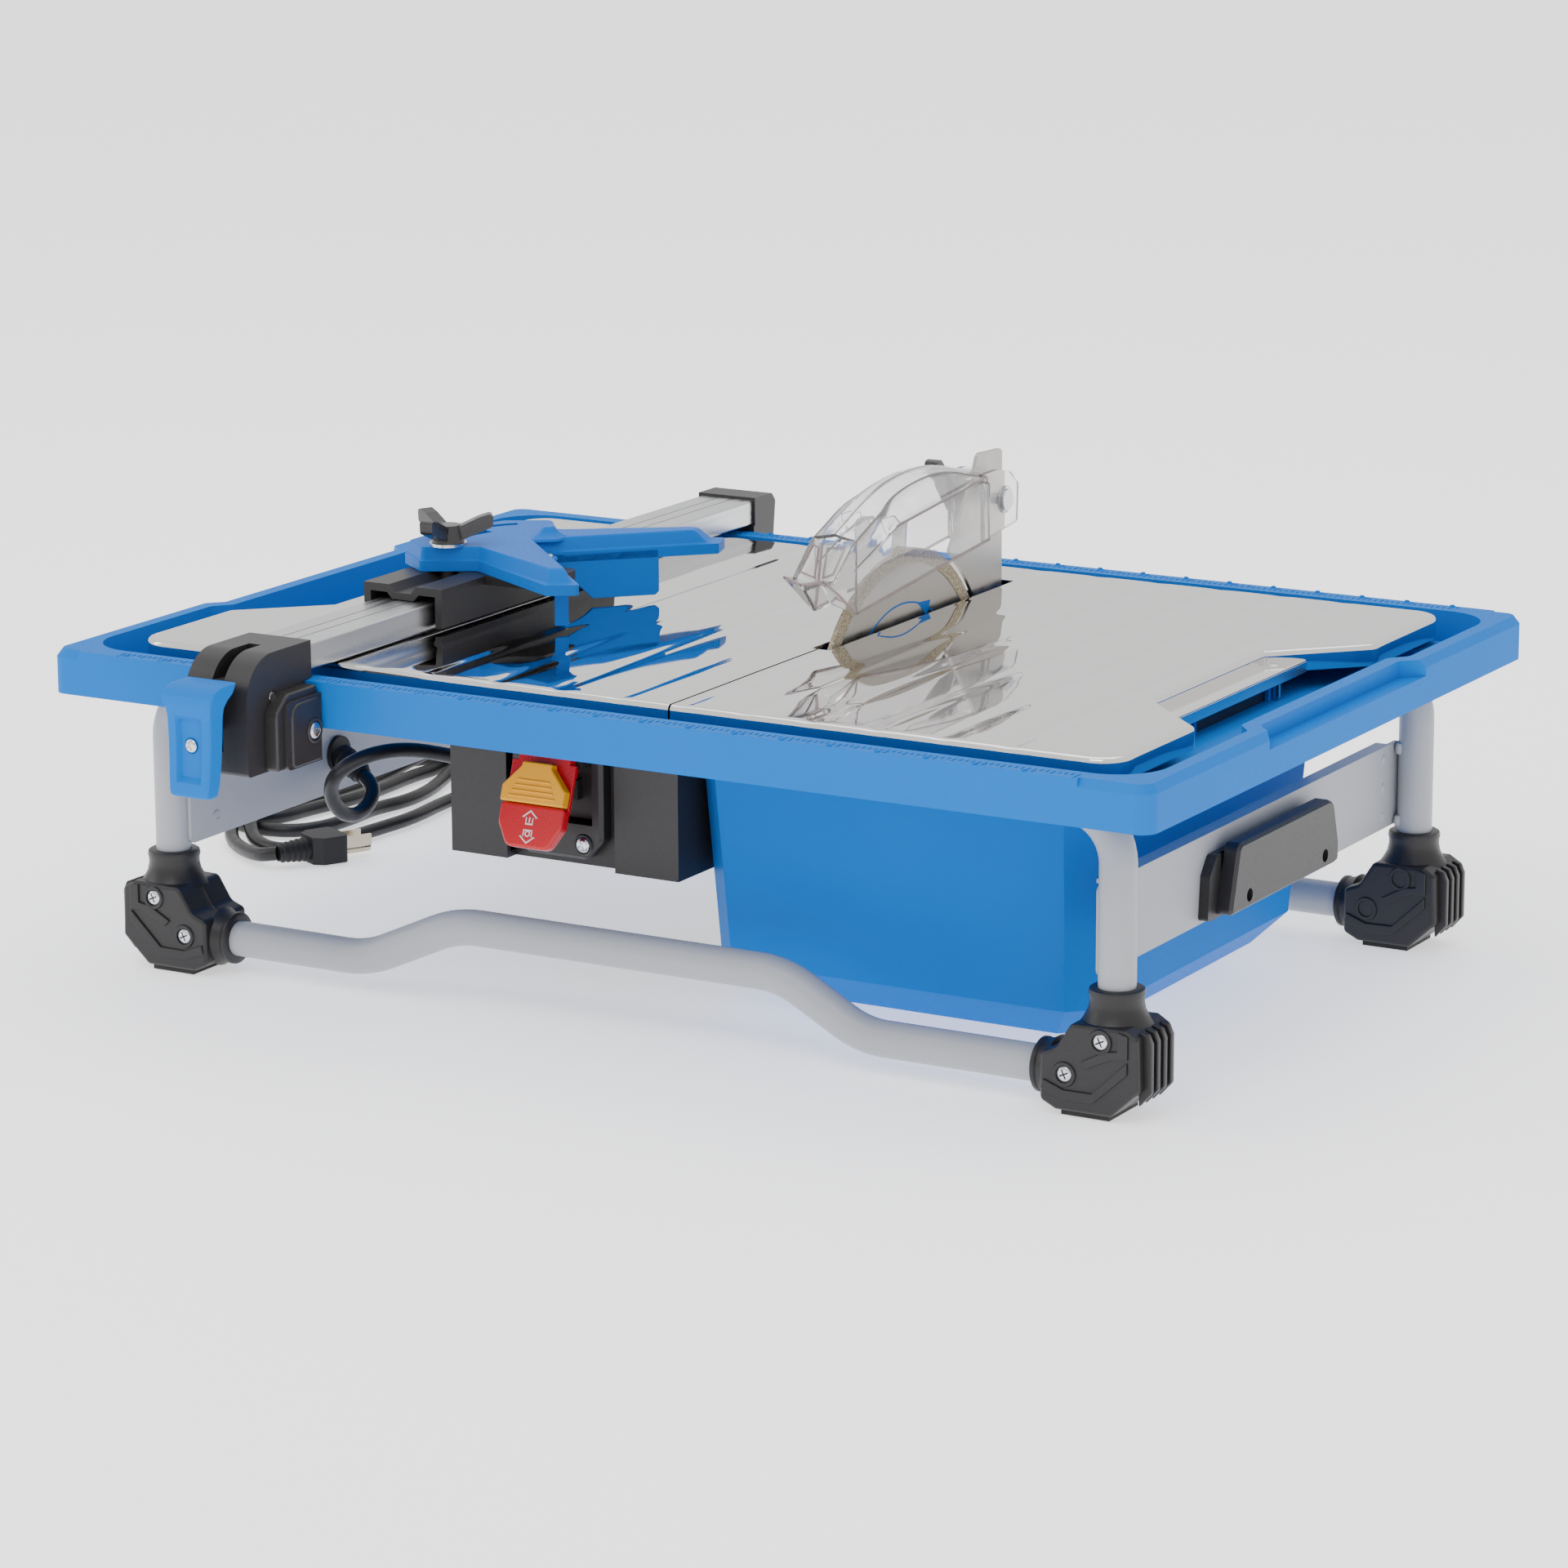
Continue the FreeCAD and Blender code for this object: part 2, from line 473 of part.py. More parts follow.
# ---------------------------------------------------------------- riving knife, its bracket, splash baffle
KY, KZ = G["guard_pivot_y"], G["guard_pivot_z"]
kn = prism([(147.4, 124), (147.4, 243.5, 3), (121, 244.7, 4), (116.6, 236), (88, 199.5), (100, 150), (128, 124)], yz(BX - 1), (2, 0, 0))
kn = kn.cut(Part.makeCylinder(93, 10, V(BX - 5, BY, BZ), V(1, 0, 0)))
kn = kn.cut(Part.makeCylinder(3.08, 10, V(BX - 5, KY, KZ), V(1, 0, 0)))
raw(max(kn.Solids, key=lambda q: q.Volume), "riving_knife")
kb = Part.makeBox(4, 17, 22, V(BX + 1.1, 136, 123)).fuse(Part.makeBox(17, 5, 22, V(BX + 1.1, 148.2, 123)))
raw(kb.removeSplitter(), "knife_bracket")
done(cut(box(240.2, 242.6, -39.8, 40.8, 151.2, 164.9), box(0, 1, 0, 1, 0, 1)), "splash_baffle")
br = fuse(box(236, 248.2, 45, 47, 152, 165.0), box(236, 247, 46.5, 57.6, 163, 165.0))
done(br, "table_bracket")
scr.append(fuse(cyl("Z", (241.5, 53.5), 2.0, 156, 162.9), cyl("Z", (241.5, 53.5), 3.6, 153.5, 156)))

# ---------------------------------------------------------------- switch: plate, body, paddle, safety key
ph = math.radians(19.0)


def tilt(shape):
    """Paddle parts are drawn hanging straight down from the hinge and then swung out at the bottom."""
    s = shape.copy()
    s.rotate(V(0, -137.5, 128), V(1, 0, 0), -19.0)
    return s


pl = Solid("plate")
oct_ = [(-87, 146), (-87, 84, 4), (-78, 73.5, 4), (-43.5, 73.5, 4), (-33.8, 84, 4), (-33.8, 146)]
pl.pad("XZ", [oct_, rrect(-80.5, 91.5, -39.5, 137)], -(MF + 7.9), 8.6)
pl.chamfer(1.8, lambda e: all(abs(v.Point.y - (MF + 7.9 - 8.6)) < 1e-4 for v in e.Vertexes) and e.BoundBox.ZMin < 140 and e.BoundBox.XMin > -87.1 and not (e.BoundBox.XMin > -81 and e.BoundBox.XMax < -39 and e.BoundBox.ZMin > 91))
pl.done("switch_plate")
scr += [cyl("Y", (x, 81.5), 3.9, -135.4, -133.8) for x in (-44.5, -77.0)]
group(scr, "frame_screws")
sb = Part.makeBox(38, 27, 30, V(-78.5, -126.5, 93)).fuse(Part.makeBox(20, 5, 10, V(-69.5, -131, 103)))
for x in (-78.5, -44.0):
    sb = sb.fuse(Part.makeBox(3.5, 15.2, 10.5, V(x, -140.5, 121.5)))
sb = sb.cut(Part.makeCylinder(2.06, 60, V(-90, -137.5, 128), V(1, 0, 0)))
raw(sb.removeSplitter(), "switch_body")
pd = prism([(-59.5 - 18.5, 122), (-59.5 + 18.5, 122), (-59.5 + 18.5, 90, 6), (-59.5 + 12, 78.5, 4), (-59.5 - 12, 78.5, 4), (-59.5 - 18.5, 90, 6)], xz(-141.5), (0, -7, 0))
pd = pd.fuse(Part.makeBox(30, 9.5, 14, V(-74.5, -144, 116))).fuse(Part.makeCylinder(2, 36.8, V(-77.9, -137.5, 128), V(1, 0, 0)))
kslot = prism([(-59.5 - 19, 100), (-59.5 + 19, 100), (-59.5 + 19, 109), (-59.5 + 9, 121), (-59.5 - 9, 121), (-59.5 - 19, 109)], xz(-143.9), (0, -8, 0))
kstem = Part.makeBox(12, 4.0, 9, V(-65.5, -144.0, 104))
pd = pd.cut(kslot).cut(kstem)
pd = tilt(pd.removeSplitter())
raw(pd, "switch_paddle")
key = prism([(-59.5 - 18.3, 100.2), (-59.5 + 18.3, 100.2), (-59.5 + 18.3, 108.6), (-59.5 + 8.6, 120.4), (-59.5 - 8.6, 120.4), (-59.5 - 18.3, 108.6)], xz(-144.0), (0, -6.6, 0))
key = key.fuse(Part.makeBox(11.6, 3.6, 8.6, V(-65.3, -145.0, 104.2)))
raw(tilt(key.removeSplitter()), "safety_key")

# ---------------------------------------------------------------- rip fence
RX, RW = -G["rail_x"], G["rail_wide"]
fr = Solid("rail")
fr.pad("XZ", [rrect(RX - 16.5, 172.8, RX + 16.5, 186.5, 1.2), rrect(RX - 14.7, 174.6, RX - 1.0, 184.7), rrect(RX + 1.0, 174.6, RX + 14.7, 184.7)], -217.9, 447.9)
fr.cut("XZ", [rrect(RX - 5.0, 186.0, RX - 4.0, 187), rrect(RX + 4.0, 186.0, RX + 5.0, 187)], -218, 450)
fr.done("fence_rail")
cap = prism([(218.0, 188.0), (218.0, 172.7), (216.8, 172.7), (216.8, 151, 1), (236.5, 151, 2), (240.6, 183.5, 3), (236.5, 188, 2)], yz(RX - 18.1), (36.2, 0, 0))
raw(cap, "fence_end_cap")
# rounded nose of the two cheeks
nose = Part.makeBox(40, 30, 30, V(RX - 20, -273.5, 166.5)).cut(Part.makeCylinder(22.1, 60, V(RX - 30, -243.5, 166.5), V(1, 0, 0)))
hs = prism([(-211, 188.6), (-265.5, 188.6), (-265.5, 130.6, 2), (-216.8, 130.6), (-216.8, 169.7), (-211, 169.7)], yz(RX - 18.1), (36.2, 0, 0)).cut(nose.common(Part.makeBox(60, 22.0, 30, V(RX - 30, -265.6, 166.5))))
wing = prism([(-246, 131, 3), (-216.8, 131), (-216.8, 164.5), (-246, 164.5, 5)], yz(RX - 27.5), (55, 0, 0))
hs = hs.fuse(wing)
hs = hs.cut(Part.makeBox(33.2, 22, 13.9, V(RX - 16.6, -231, 172.7)))
hs = hs.cut(Part.makeBox(7, 60, 56, V(RX - 3.5, -268, 142)).cut(Part.makeBox(10, 30, 80, V(RX - 5, -232, 120))))
hs = hs.cut(Part.makeCylinder(3.1, 40, V(RX - 18.2, -243.5, 166.5), V(1, 0, 0)).cut(Part.makeBox(2, 9, 9, V(RX - 18.2, -248, 162))))
hs = hs.cut(Part.makeBox(22, 3.2, 16, V(RX - 11, -220, 140)))
raw(hs.removeSplitter(), "fence_lock_housing")
group([cyl("X", (-223, 147.2), 3.6, RX + 27.55, RX + 29.3), cyl("X", (-223, 147.2), 3.6, RX - 29.3, RX - 27.55)], "fence_screws")
done(cut(box(RX - 10.8, RX + 10.8, -219.8, -216.4, 140.2, 155.8), box(0, 1, 0, 1, 0, 1)), "fence_clamp_pad")

# cam lever: handle hanging in front of the two cheeks, tongue between them, pin across
lv = prism([(-268.4, 177.8, 1), (-290, 177.0, 4), (-290.4, 172), (-288.2, 152), (-290.2, 126, 2), (-288.5, 123.6), (-283, 123.6, 2), (-279.5, 140), (-278.4, 160), (-277.2, 171.5, 2), (-268.4, 174)], yz(RX - 13), (26, 0, 0))
tongue = prism([(-243.5 + 7.5, 166.5 - 8), (-243.5 + 7.5, 166.5 + 7, 3), (-250, 176.5), (-270, 177), (-278, 171), (-278, 156), (-262, 152, 4), (-243.5, 156)], yz(RX - 3.2), (6.4, 0, 0))
lv = lv.fuse(tongue).cut(Part.makeCylinder(3.1, 20, V(RX - 10, -243.5, 166.5), V(1, 0, 0)))
raw(lv.removeSplitter(), "lock_lever")
group([cyl("X", (-243.5, 166.5), 3.05, RX - 16, RX + 17.9), cyl("Y", (RX, 149), 3.4, -290.3, -288.75)], "lever_pins")

# ---------------------------------------------------------------- mitre slide and gauge
CX = RX - 0.5
ch = Solid("channel")
ch.pad("XZ", [[(CX - 23.5, 174.3), (CX - 23.5, 194.3), (CX - 8.2, 194.3), (CX - 4.8, 190.4), (CX + 4.8, 190.4), (CX + 8.2, 194.3), (CX + 23.5, 194.3), (CX + 23.5, 174.3), (CX + 19.5, 174.3), (CX + 19.5, 190.2, 0), (CX + 9.5, 190.2), (CX + 6.5, 186.9), (CX - 6.5, 186.9), (CX - 9.5, 190.2), (CX - 19.5, 190.2), (CX - 19.5, 174.3)]], -62, 165)
ch.pad("XY", [[(CX + 23.0, -62), (-114, -62, 6), (-114, -24, 6), (-136, -24, 2), (-141, -31, 2), (CX + 23.0, -31)]], 189.8, 4.5)
ch.pad("XY", [("c", -172.9, -56.3, 5.0)], 186.5, 7.8)
ch.done("miter_channel")
PVX, PVY = -G["pivot_x"], -G["pivot_y"]
arms = [(-200.5, -55), (-181.5, -69.5, 3), (-156.5, -54.5, 4), (-91.4, -91.5, 2), (-77.4, -82.0, 2), (-137.4, -21.9, 3),
        (-71.5, 44.0, 2), (-77, 60.5, 2), (-150, 12, 8), (-160, 34, 3), (-186, 20, 6), (-203.5, -18, 8)]
gz0, gz1 = G["gauge_low"], G["gauge_high"]
gb = prism(arms, xy(gz0), (0, 0, 5.6))
gt = prism([(-196.5, -53, 2), (-181, -63, 3), (-156, -48.5, 4), (-93, -85, 2), (-86, -80, 2), (-144, -22, 3), (-81.5, 41, 2), (-84.5, 51, 2), (-150, 5, 6), (-163, 28, 3), (-184, 15, 6), (-198.5, -19, 8)], xy(gz0 + 5.5), (0, 0, gz1 - gz0 - 5.5))
g = gb.fuse(gt)
# two curved windows about the pivot; the inner one is the lock slot


def ringseg(r0, r1, a0, a1, z0, z1):
    p = []
    f = lambda r, a: V(PVX + r * math.cos(math.radians(a)), PVY + r * math.sin(math.radians(a)), z0)
    e = [Part.Arc(f(r0, a0), f(r0, (a0 + a1) / 2), f(r0, a1)).toShape(), Part.LineSegment(f(r0, a1), f(r1, a1)).toShape(),
         Part.Arc(f(r1, a1), f(r1, (a0 + a1) / 2), f(r1, a0)).toShape(), Part.LineSegment(f(r1, a0), f(r0, a0)).toShape()]
    return Part.Face(Part.Wire(e)).extrude(V(0, 0, z1 - z0))


g = g.cut(ringseg(46.6, 53.2, 158, 211.5, 190, 215)).cut(ringseg(58.5, 63.5, 136, 184, 190, 215))
# pushing face and foot that reach down to the tile
wl = prism([(-136, gz0 + 0.5), (-118.0, 174.6, 2), (-94.5, 174.6, 2), (-94.5, gz0 + 0.5)], xz(0), (0, 60, 0)).common(
    prism([(-137.2, -21.7), (-94.0, 21.5), (-96.2, 23.7), (-139.4, -19.5)], xy(170), (0, 0, 40)))
ft = prism([(-99.5, -71.2), (-92.5, -68.2), (-95.5, -64.6), (-100.5, -66.2)], xy(174.6), (0, 0, gz0 + 1 - 174.6))
g = g.fuse(wl).fuse(ft)
g = g.cut(Part.makeCylinder(2.6, 40, V(PVX, PVY, 180), V(0, 0, 1)))
raw(g.removeSplitter(), "miter_gauge")
done(fuse(cyl("Z", (PVX, PVY), 2.5, 194.35, 207.2), cyl("Z", (PVX, PVY), 4.2, 207.1, 209.4)), "gauge_pivot_screw")
KX, KYY = -172.9, -56.3
washer = cut(cyl("Z", (KX, KYY), 9.6, 207.05, 208.6), cyl("Z", (KX, KYY), 3.05, 206, 210))
kb_ = Part.makeCone(8.5, 6.5, 9, V(KX, KYY, 208.7), V(0, 0, 1))
for k in range(3):
    a = 35 + 120 * k
    w_ = prism([(0, 210), (6, 209.5), (23, 216.5, 2), (23.5, 223.8, 2), (16, 221.6), (7, 217.5), (0, 217.5)], xz(-3.6), (0, 7.2, 0))
    w_.rotate(V(0, 0, 0), V(0, 0, 1), a); w_.translate(V(KX, KYY, 0))
    kb_ = kb_.fuse(w_)
kb_ = kb_.cut(Part.makeCylinder(3.0, 6, V(KX, KYY, 208.6), V(0, 0, 1))).removeSplitter()
raw(kb_, "miter_knob")
group([cyl("Z", (KX, KYY), 2.95, 194.35, 214.6), washer], "knob_stud")

# ---------------------------------------------------------------- blade guard
H0, H1 = BX - 12.5, BX + 12.5
side = [(-28, 188, 3), (-30, 225, 5), (-8, 237.5, 30), (26, 247.6, 40), (72, 247.2, 40), (112.4, 236.4), (112.4, 201.6)]
out = prism(side, yz(H0), (25, 0, 0))
inn = prism([(-26, 180), (-28, 223.5, 4), (-7.4, 235.5, 29), (26.2, 245.6, 38), (71.6, 245.2, 38), (110.4, 235.0), (110.4, 190)], yz(H0 + 2), (21, 0, 0))
ear = prism([(108, 201.0), (146.5, 205.8, 2), (147.5, 226, 4), (138, 234, 3), (124, 237.0), (108, 237)], yz(H0 + 2.3), (20.4, 0, 0))
earin = prism([(100, 180), (160, 180), (160, 235.5), (138, 231.8), (100, 234.5)], yz(H0 + 4.8), (15.4, 0, 0))
nz = prism([(H0 + 0.2, -27), (H1 - 0.2, -27), (H1 - 3, -40), (BX + 1.5, -58, 1.5), (BX - 1.5, -58, 1.5), (H0 + 3, -40)], xy(194), (0, 0, 32))
nz = nz.cut(prism([(H0 + 2.2, -20), (H1 - 2.2, -20), (H1 - 5, -39), (BX + 1, -55), (BX - 1, -55), (H0 + 5, -39)], xy(190), (0, 0, 34)))
nz = nz.cut(prism([(-80, 206), (-44, 226.2), (-44, 260), (-80, 260)], yz(H0 - 5), (40, 0, 0)))
lip = prism([(H0 + 1, -42), (H1 - 1, -42), (BX + 4, -80, 3), (BX - 4, -80, 3)], xy(209.5), (0, 0, 2.2)).cut(prism([(H0 + 3.4, -39), (H1 - 3.4, -39), (BX + 1, -56), (BX - 1, -56)], xy(205), (0, 0, 10)))
hood = out.fuse(ear).fuse(nz).fuse(lip).cut(inn).cut(earin)
hood = hood.cut(Part.makeBox(15.4, 60, 70, V(H0 + 4.8, 113.5, 190))).cut(Part.makeBox(5, 30, 40, V(BX - 2.5, 102, 222)))
hood = hood.cut(Part.makeCylinder(3.08, 60, V(BX - 30, KY, KZ), V(1, 0, 0)))
hood = hood.removeSplitter()
raw(max(hood.Solids, key=lambda q: q.Volume), "guard_hood")
done(fuse(cyl("X", (KY, KZ), 3.0, BX - 25.5, BX + 10.4), cyl("X", (KY, KZ), 5.6, BX + 10.3, BX + 13.2)), "guard_bolt")
gk = Part.makeCylinder(8.5, 10.6, V(BX - 20.9, KY, KZ), V(1, 0, 0))
for a in (132, 312):
    w_ = prism([(0, -5), (24, -4, 3), (27, 0, 2), (24, 5, 3), (0, 5)], lambda a_, b_: V(0, a_, b_), (7.0, 0, 0))
    w_.rotate(V(0, 0, 0), V(1, 0, 0), a); w_.translate(V(BX - 26.5, KY, KZ))
    gk = gk.fuse(w_)
gk = gk.cut(Part.makeCylinder(3.05, 30, V(BX - 25.6, KY, KZ), V(1, 0, 0))).removeSplitter()
raw(gk, "guard_knob")

# ---------------------------------------------------------------- power lead
CD = G["cord_dia"]
S0 = V(-253.6, -39.9, 83.5)
D0 = V(0.88, -0.30, -0.37).normalize()
TIP = S0 + D0 * 20
sr = Part.makeCylinder(9.5, 2.4, V(-256.9, -39.3, 84.3), V(1, 0, 0)).fuse(Part.makeCylinder(5.4, 7, V(-262, -39.3, 84.3), V(1, 0, 0)))
sr = sr.fuse(Part.makeCone(6.8, 4.7, 20, S0, D0)).removeSplitter()
raw(sr, "strain_relief")
B0 = TIP + D0 * 11
lead = [tuple(TIP), tuple(B0), (-223.5, -59.5, 64.5), (-223.3, -71.0, 61.5), (-223.8, -82.0, 64.2), (-223.6, -91.5, 72.0), (-220.6, -98.5, 82.3), (-213.3, -103.5, 91.5),
        (-203.0, -101.5, 99.5), (-193.7, -91.0, 103.0), (-187.5, -73.5, 101.4), (-181.6, -51.7, 95.0), (-177.4, -26.5, 86.1),
        (-176, 4, 74), (-184, 35, 57), (-194, 66, 35), (-207, 94, 15.5), (-229, 116, 4.4), (-258, 126, 4.4), (-286, 138, 4.4), (-306, 158, 4.4), (-320, 188, 4.4)]
wire = arc_path(lead, report="lead")
raw(sweep(wire, CD / 2), "cord_lead")
# folded runs of the lead beside the stand, one closed body of their outer shape
hank = prism([(-424, 273, 30), (-424, 96, 14), (-408, 62, 16), (-380, 22, 12), (-356, 8, 10), (-336, 9, 4), (-336, 44, 6), (-319, 64, 8), (-319, 190, 3), (-309, 190, 3), (-309, 240, 24), (-338, 273, 30)], xy(0.05), (0, 0, 24.5))
raw(hank, "cord_hank")


def lay(shape):
    s = shape.copy()
    s.rotate(V(0, 0, 0), V(0, 0, 1), 62)
    s.translate(V(-335, 14, 0))
    return s


pg = Part.makeCone(4.6, 6.2, 19, V(0, 0, 8.2), V(1, 0, 0)).fuse(prism([(18, -7), (23, -11.5, 3), (38, -11.5, 3), (38, 11.5, 3), (23, 11.5, 3), (18, 7)], xy(0.6), (0, 0, 15.2)))
raw(lay(pg.removeSplitter()), "power_plug")
pr = [Part.makeBox(16, 1.6, 6.4, V(38.05, s * 6.3 - 0.8, 7.0)) for s in (-1, 1)] + [Part.makeCylinder(2.4, 18, V(38.05, 0, 4.4), V(1, 0, 0))]
raw(lay(Part.makeCompound(pr)), "plug_prongs")

# ---------------------------------------------------------------- write the pieces
doc.recompute()
bad = []
for o in doc.Objects:
    if "Invalid" in o.State or "Error" in o.State:
        bad.append(o.Name)
for o in FINAL:
    s = o.Shape
    if s.isNull() or not s.isValid() or not s.Solids:
        bad.append(o.Label)
if bad:
    raise RuntimeError("bad objects: %s" % bad)
os.makedirs("parts", exist_ok=True)
for f in os.listdir("parts"):
    if f.endswith(".step"):
        os.remove(os.path.join("parts", f))
bb = FreeCAD.BoundBox()
for o in FINAL:
    o.Shape.exportStep("parts/%s.step" % o.Label)
    if not o.Label.startswith(("cord_", "power_plug", "plug_")):
        bb.add(o.Shape.BoundBox)
print(len(FINAL), "pieces; box without the lead:", [round(v, 2) for v in (bb.XMin, bb.XMax, bb.YMin, bb.YMax, bb.ZMin, bb.ZMax)])
for o in FINAL:
    n = len(o.Shape.Solids)
    if n != 1:
        print("  ", o.Label, n, "solids")
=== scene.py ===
# Looks of the tabletop wet tile saw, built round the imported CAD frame. Metres.
import bpy, bmesh, math, json, random
from mathutils import Vector, Matrix

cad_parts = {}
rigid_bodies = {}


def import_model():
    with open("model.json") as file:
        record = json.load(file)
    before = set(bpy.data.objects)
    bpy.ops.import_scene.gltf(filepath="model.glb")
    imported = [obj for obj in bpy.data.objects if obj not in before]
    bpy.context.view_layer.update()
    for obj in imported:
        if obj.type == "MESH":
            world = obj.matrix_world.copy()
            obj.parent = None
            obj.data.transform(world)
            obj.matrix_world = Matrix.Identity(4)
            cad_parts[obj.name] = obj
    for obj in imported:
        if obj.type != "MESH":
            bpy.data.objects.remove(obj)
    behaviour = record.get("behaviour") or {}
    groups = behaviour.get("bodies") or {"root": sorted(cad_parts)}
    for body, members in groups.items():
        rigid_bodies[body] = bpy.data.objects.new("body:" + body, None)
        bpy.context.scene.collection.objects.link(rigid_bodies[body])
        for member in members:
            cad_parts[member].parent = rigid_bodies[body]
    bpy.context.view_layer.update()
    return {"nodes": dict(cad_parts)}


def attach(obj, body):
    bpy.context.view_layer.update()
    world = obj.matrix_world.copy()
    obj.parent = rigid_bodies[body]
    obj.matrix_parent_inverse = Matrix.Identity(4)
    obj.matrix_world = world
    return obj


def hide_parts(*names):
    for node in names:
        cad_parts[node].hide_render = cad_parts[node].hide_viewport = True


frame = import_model()
SY = 0.0249                      # the part sits this far back from its drawing coordinates


def P(x, y, z):
    """Drawing millimetres to frame metres."""
    return Vector((x / 1000.0, y / 1000.0 + SY, z / 1000.0))


# ------------------------------------------------------------------ camera
cam_d = bpy.data.cameras.new("camera")
cam = bpy.data.objects.new("camera", cam_d)
bpy.context.collection.objects.link(cam)
yaw, pitch, roll = math.radians(30.08), math.radians(13.57), math.radians(-0.28)
fwd = Vector((-math.sin(yaw) * math.cos(pitch), math.cos(yaw) * math.cos(pitch), -math.sin(pitch)))
right = Vector((math.cos(yaw), math.sin(yaw), 0))
up = right.cross(fwd)
r2 = right * math.cos(roll) + up * math.sin(roll)
u2 = -right * math.sin(roll) + up * math.cos(roll)
m = Matrix((r2, u2, -fwd)).transposed().to_4x4()
m.translation = Vector((1.3580, -2.3584 + SY, 0.7485))
cam.matrix_world = m
cam_d.sensor_width = 36.0
cam_d.lens = 36.0 * 6718.9 / 1920.0
cam_d.shift_x, cam_d.shift_y = 0.0006, -0.0028
cam_d.clip_start, cam_d.clip_end = 0.05, 50
bpy.context.scene.camera = cam


# ------------------------------------------------------------------ materials
def new_mat(name):
    mt = bpy.data.materials.new(name)
    mt.use_nodes = True
    nt = mt.node_tree
    b = nt.nodes["Principled BSDF"]
    return mt, nt, b


def lin(c):
    return tuple(((v / 255.0) / 12.92 if v <= 10.31 else ((v / 255.0 + 0.055) / 1.055) ** 2.4) for v in c)


def noise(nt, scale, detail=4, rough=0.6, coord="Object", stretch=None):
    tc = nt.nodes.new("ShaderNodeTexCoord")
    n = nt.nodes.new("ShaderNodeTexNoise")
    n.inputs["Scale"].default_value = scale
    n.inputs["Detail"].default_value = detail
    n.inputs["Roughness"].default_value = rough
    if stretch:
        mp = nt.nodes.new("ShaderNodeMapping")
        mp.inputs["Scale"].default_value = stretch
        nt.links.new(tc.outputs[coord], mp.inputs["Vector"])
        nt.links.new(mp.outputs["Vector"], n.inputs["Vector"])
    else:
        nt.links.new(tc.outputs[coord], n.inputs["Vector"])
    return n


def ramp(nt, src, a, b, lo, hi):
    r = nt.nodes.new("ShaderNodeMapRange")
    r.inputs["From Min"].default_value = a; r.inputs["From Max"].default_value = b
    r.inputs["To Min"].default_value = lo; r.inputs["To Max"].default_value = hi
    nt.links.new(src, r.inputs["Value"])
    return r.outputs["Result"]


def plastic(name, rgb, rough=0.42, grain=900.0, grain_h=0.00006, wear=0.06, spec=0.5, subsurf=0.0, mottle=14.0):
    """Moulded plastic: fine spark-eroded grain, slow shade drift and slightly varied gloss."""
    mt, nt, b = new_mat(name)
    c = lin(rgb)
    slow = noise(nt, mottle, 3)
    mix = nt.nodes.new("ShaderNodeMix"); mix.data_type = "RGBA"
    mix.inputs["A"].default_value = (*[v * (1 - wear) for v in c], 1)
    mix.inputs["B"].default_value = (*[min(1, v * (1 + wear) + 0.002) for v in c], 1)
    nt.links.new(slow.outputs["Fac"], mix.inputs["Factor"])
    nt.links.new(mix.outputs["Result"], b.inputs["Base Color"])
    fine = noise(nt, grain, 2, 0.7)
    nt.links.new(ramp(nt, fine.outputs["Fac"], 0.3, 0.7, rough - 0.05, rough + 0.07), b.inputs["Roughness"])
    bump = nt.nodes.new("ShaderNodeBump")
    bump.inputs["Strength"].default_value = 0.6
    bump.inputs["Distance"].default_value = grain_h
    nt.links.new(fine.outputs["Fac"], bump.inputs["Height"])
    nt.links.new(bump.outputs["Normal"], b.inputs["Normal"])
    b.inputs["Specular IOR Level"].default_value = spec
    if subsurf:
        b.inputs["Subsurface Weight"].default_value = subsurf
        b.inputs["Subsurface Radius"].default_value = (0.004, 0.006, 0.01)
        b.inputs["Subsurface Scale"].default_value = 0.5
    return mt


def metal(name, rgb, rough=0.25, brush=None, bump_h=0.0, vary=0.05, metallic=1.0, scale=60.0, aniso=0.0):
    mt, nt, b = new_mat(name)
    c = lin(rgb)
    b.inputs["Metallic"].default_value = metallic
    n = noise(nt, scale, 4, 0.6, stretch=brush)
    mix = nt.nodes.new("ShaderNodeMix"); mix.data_type = "RGBA"
    mix.inputs["A"].default_value = (*[v * (1 - vary) for v in c], 1)
    mix.inputs["B"].default_value = (*[min(1, v * (1 + vary)) for v in c], 1)
    nt.links.new(n.outputs["Fac"], mix.inputs["Factor"])
    nt.links.new(mix.outputs["Result"], b.inputs["Base Color"])
    nt.links.new(ramp(nt, n.outputs["Fac"], 0.25, 0.75, max(0.01, rough * 0.75), rough * 1.3), b.inputs["Roughness"])
    if bump_h:
        bump = nt.nodes.new("ShaderNodeBump")
        bump.inputs["Strength"].default_value = 0.5
        bump.inputs["Distance"].default_value = bump_h
        nt.links.new(n.outputs["Fac"], bump.inputs["Height"])
        nt.links.new(bump.outputs["Normal"], b.inputs["Normal"])
    if aniso:
        b.inputs["Anisotropic"].default_value = aniso
    return mt


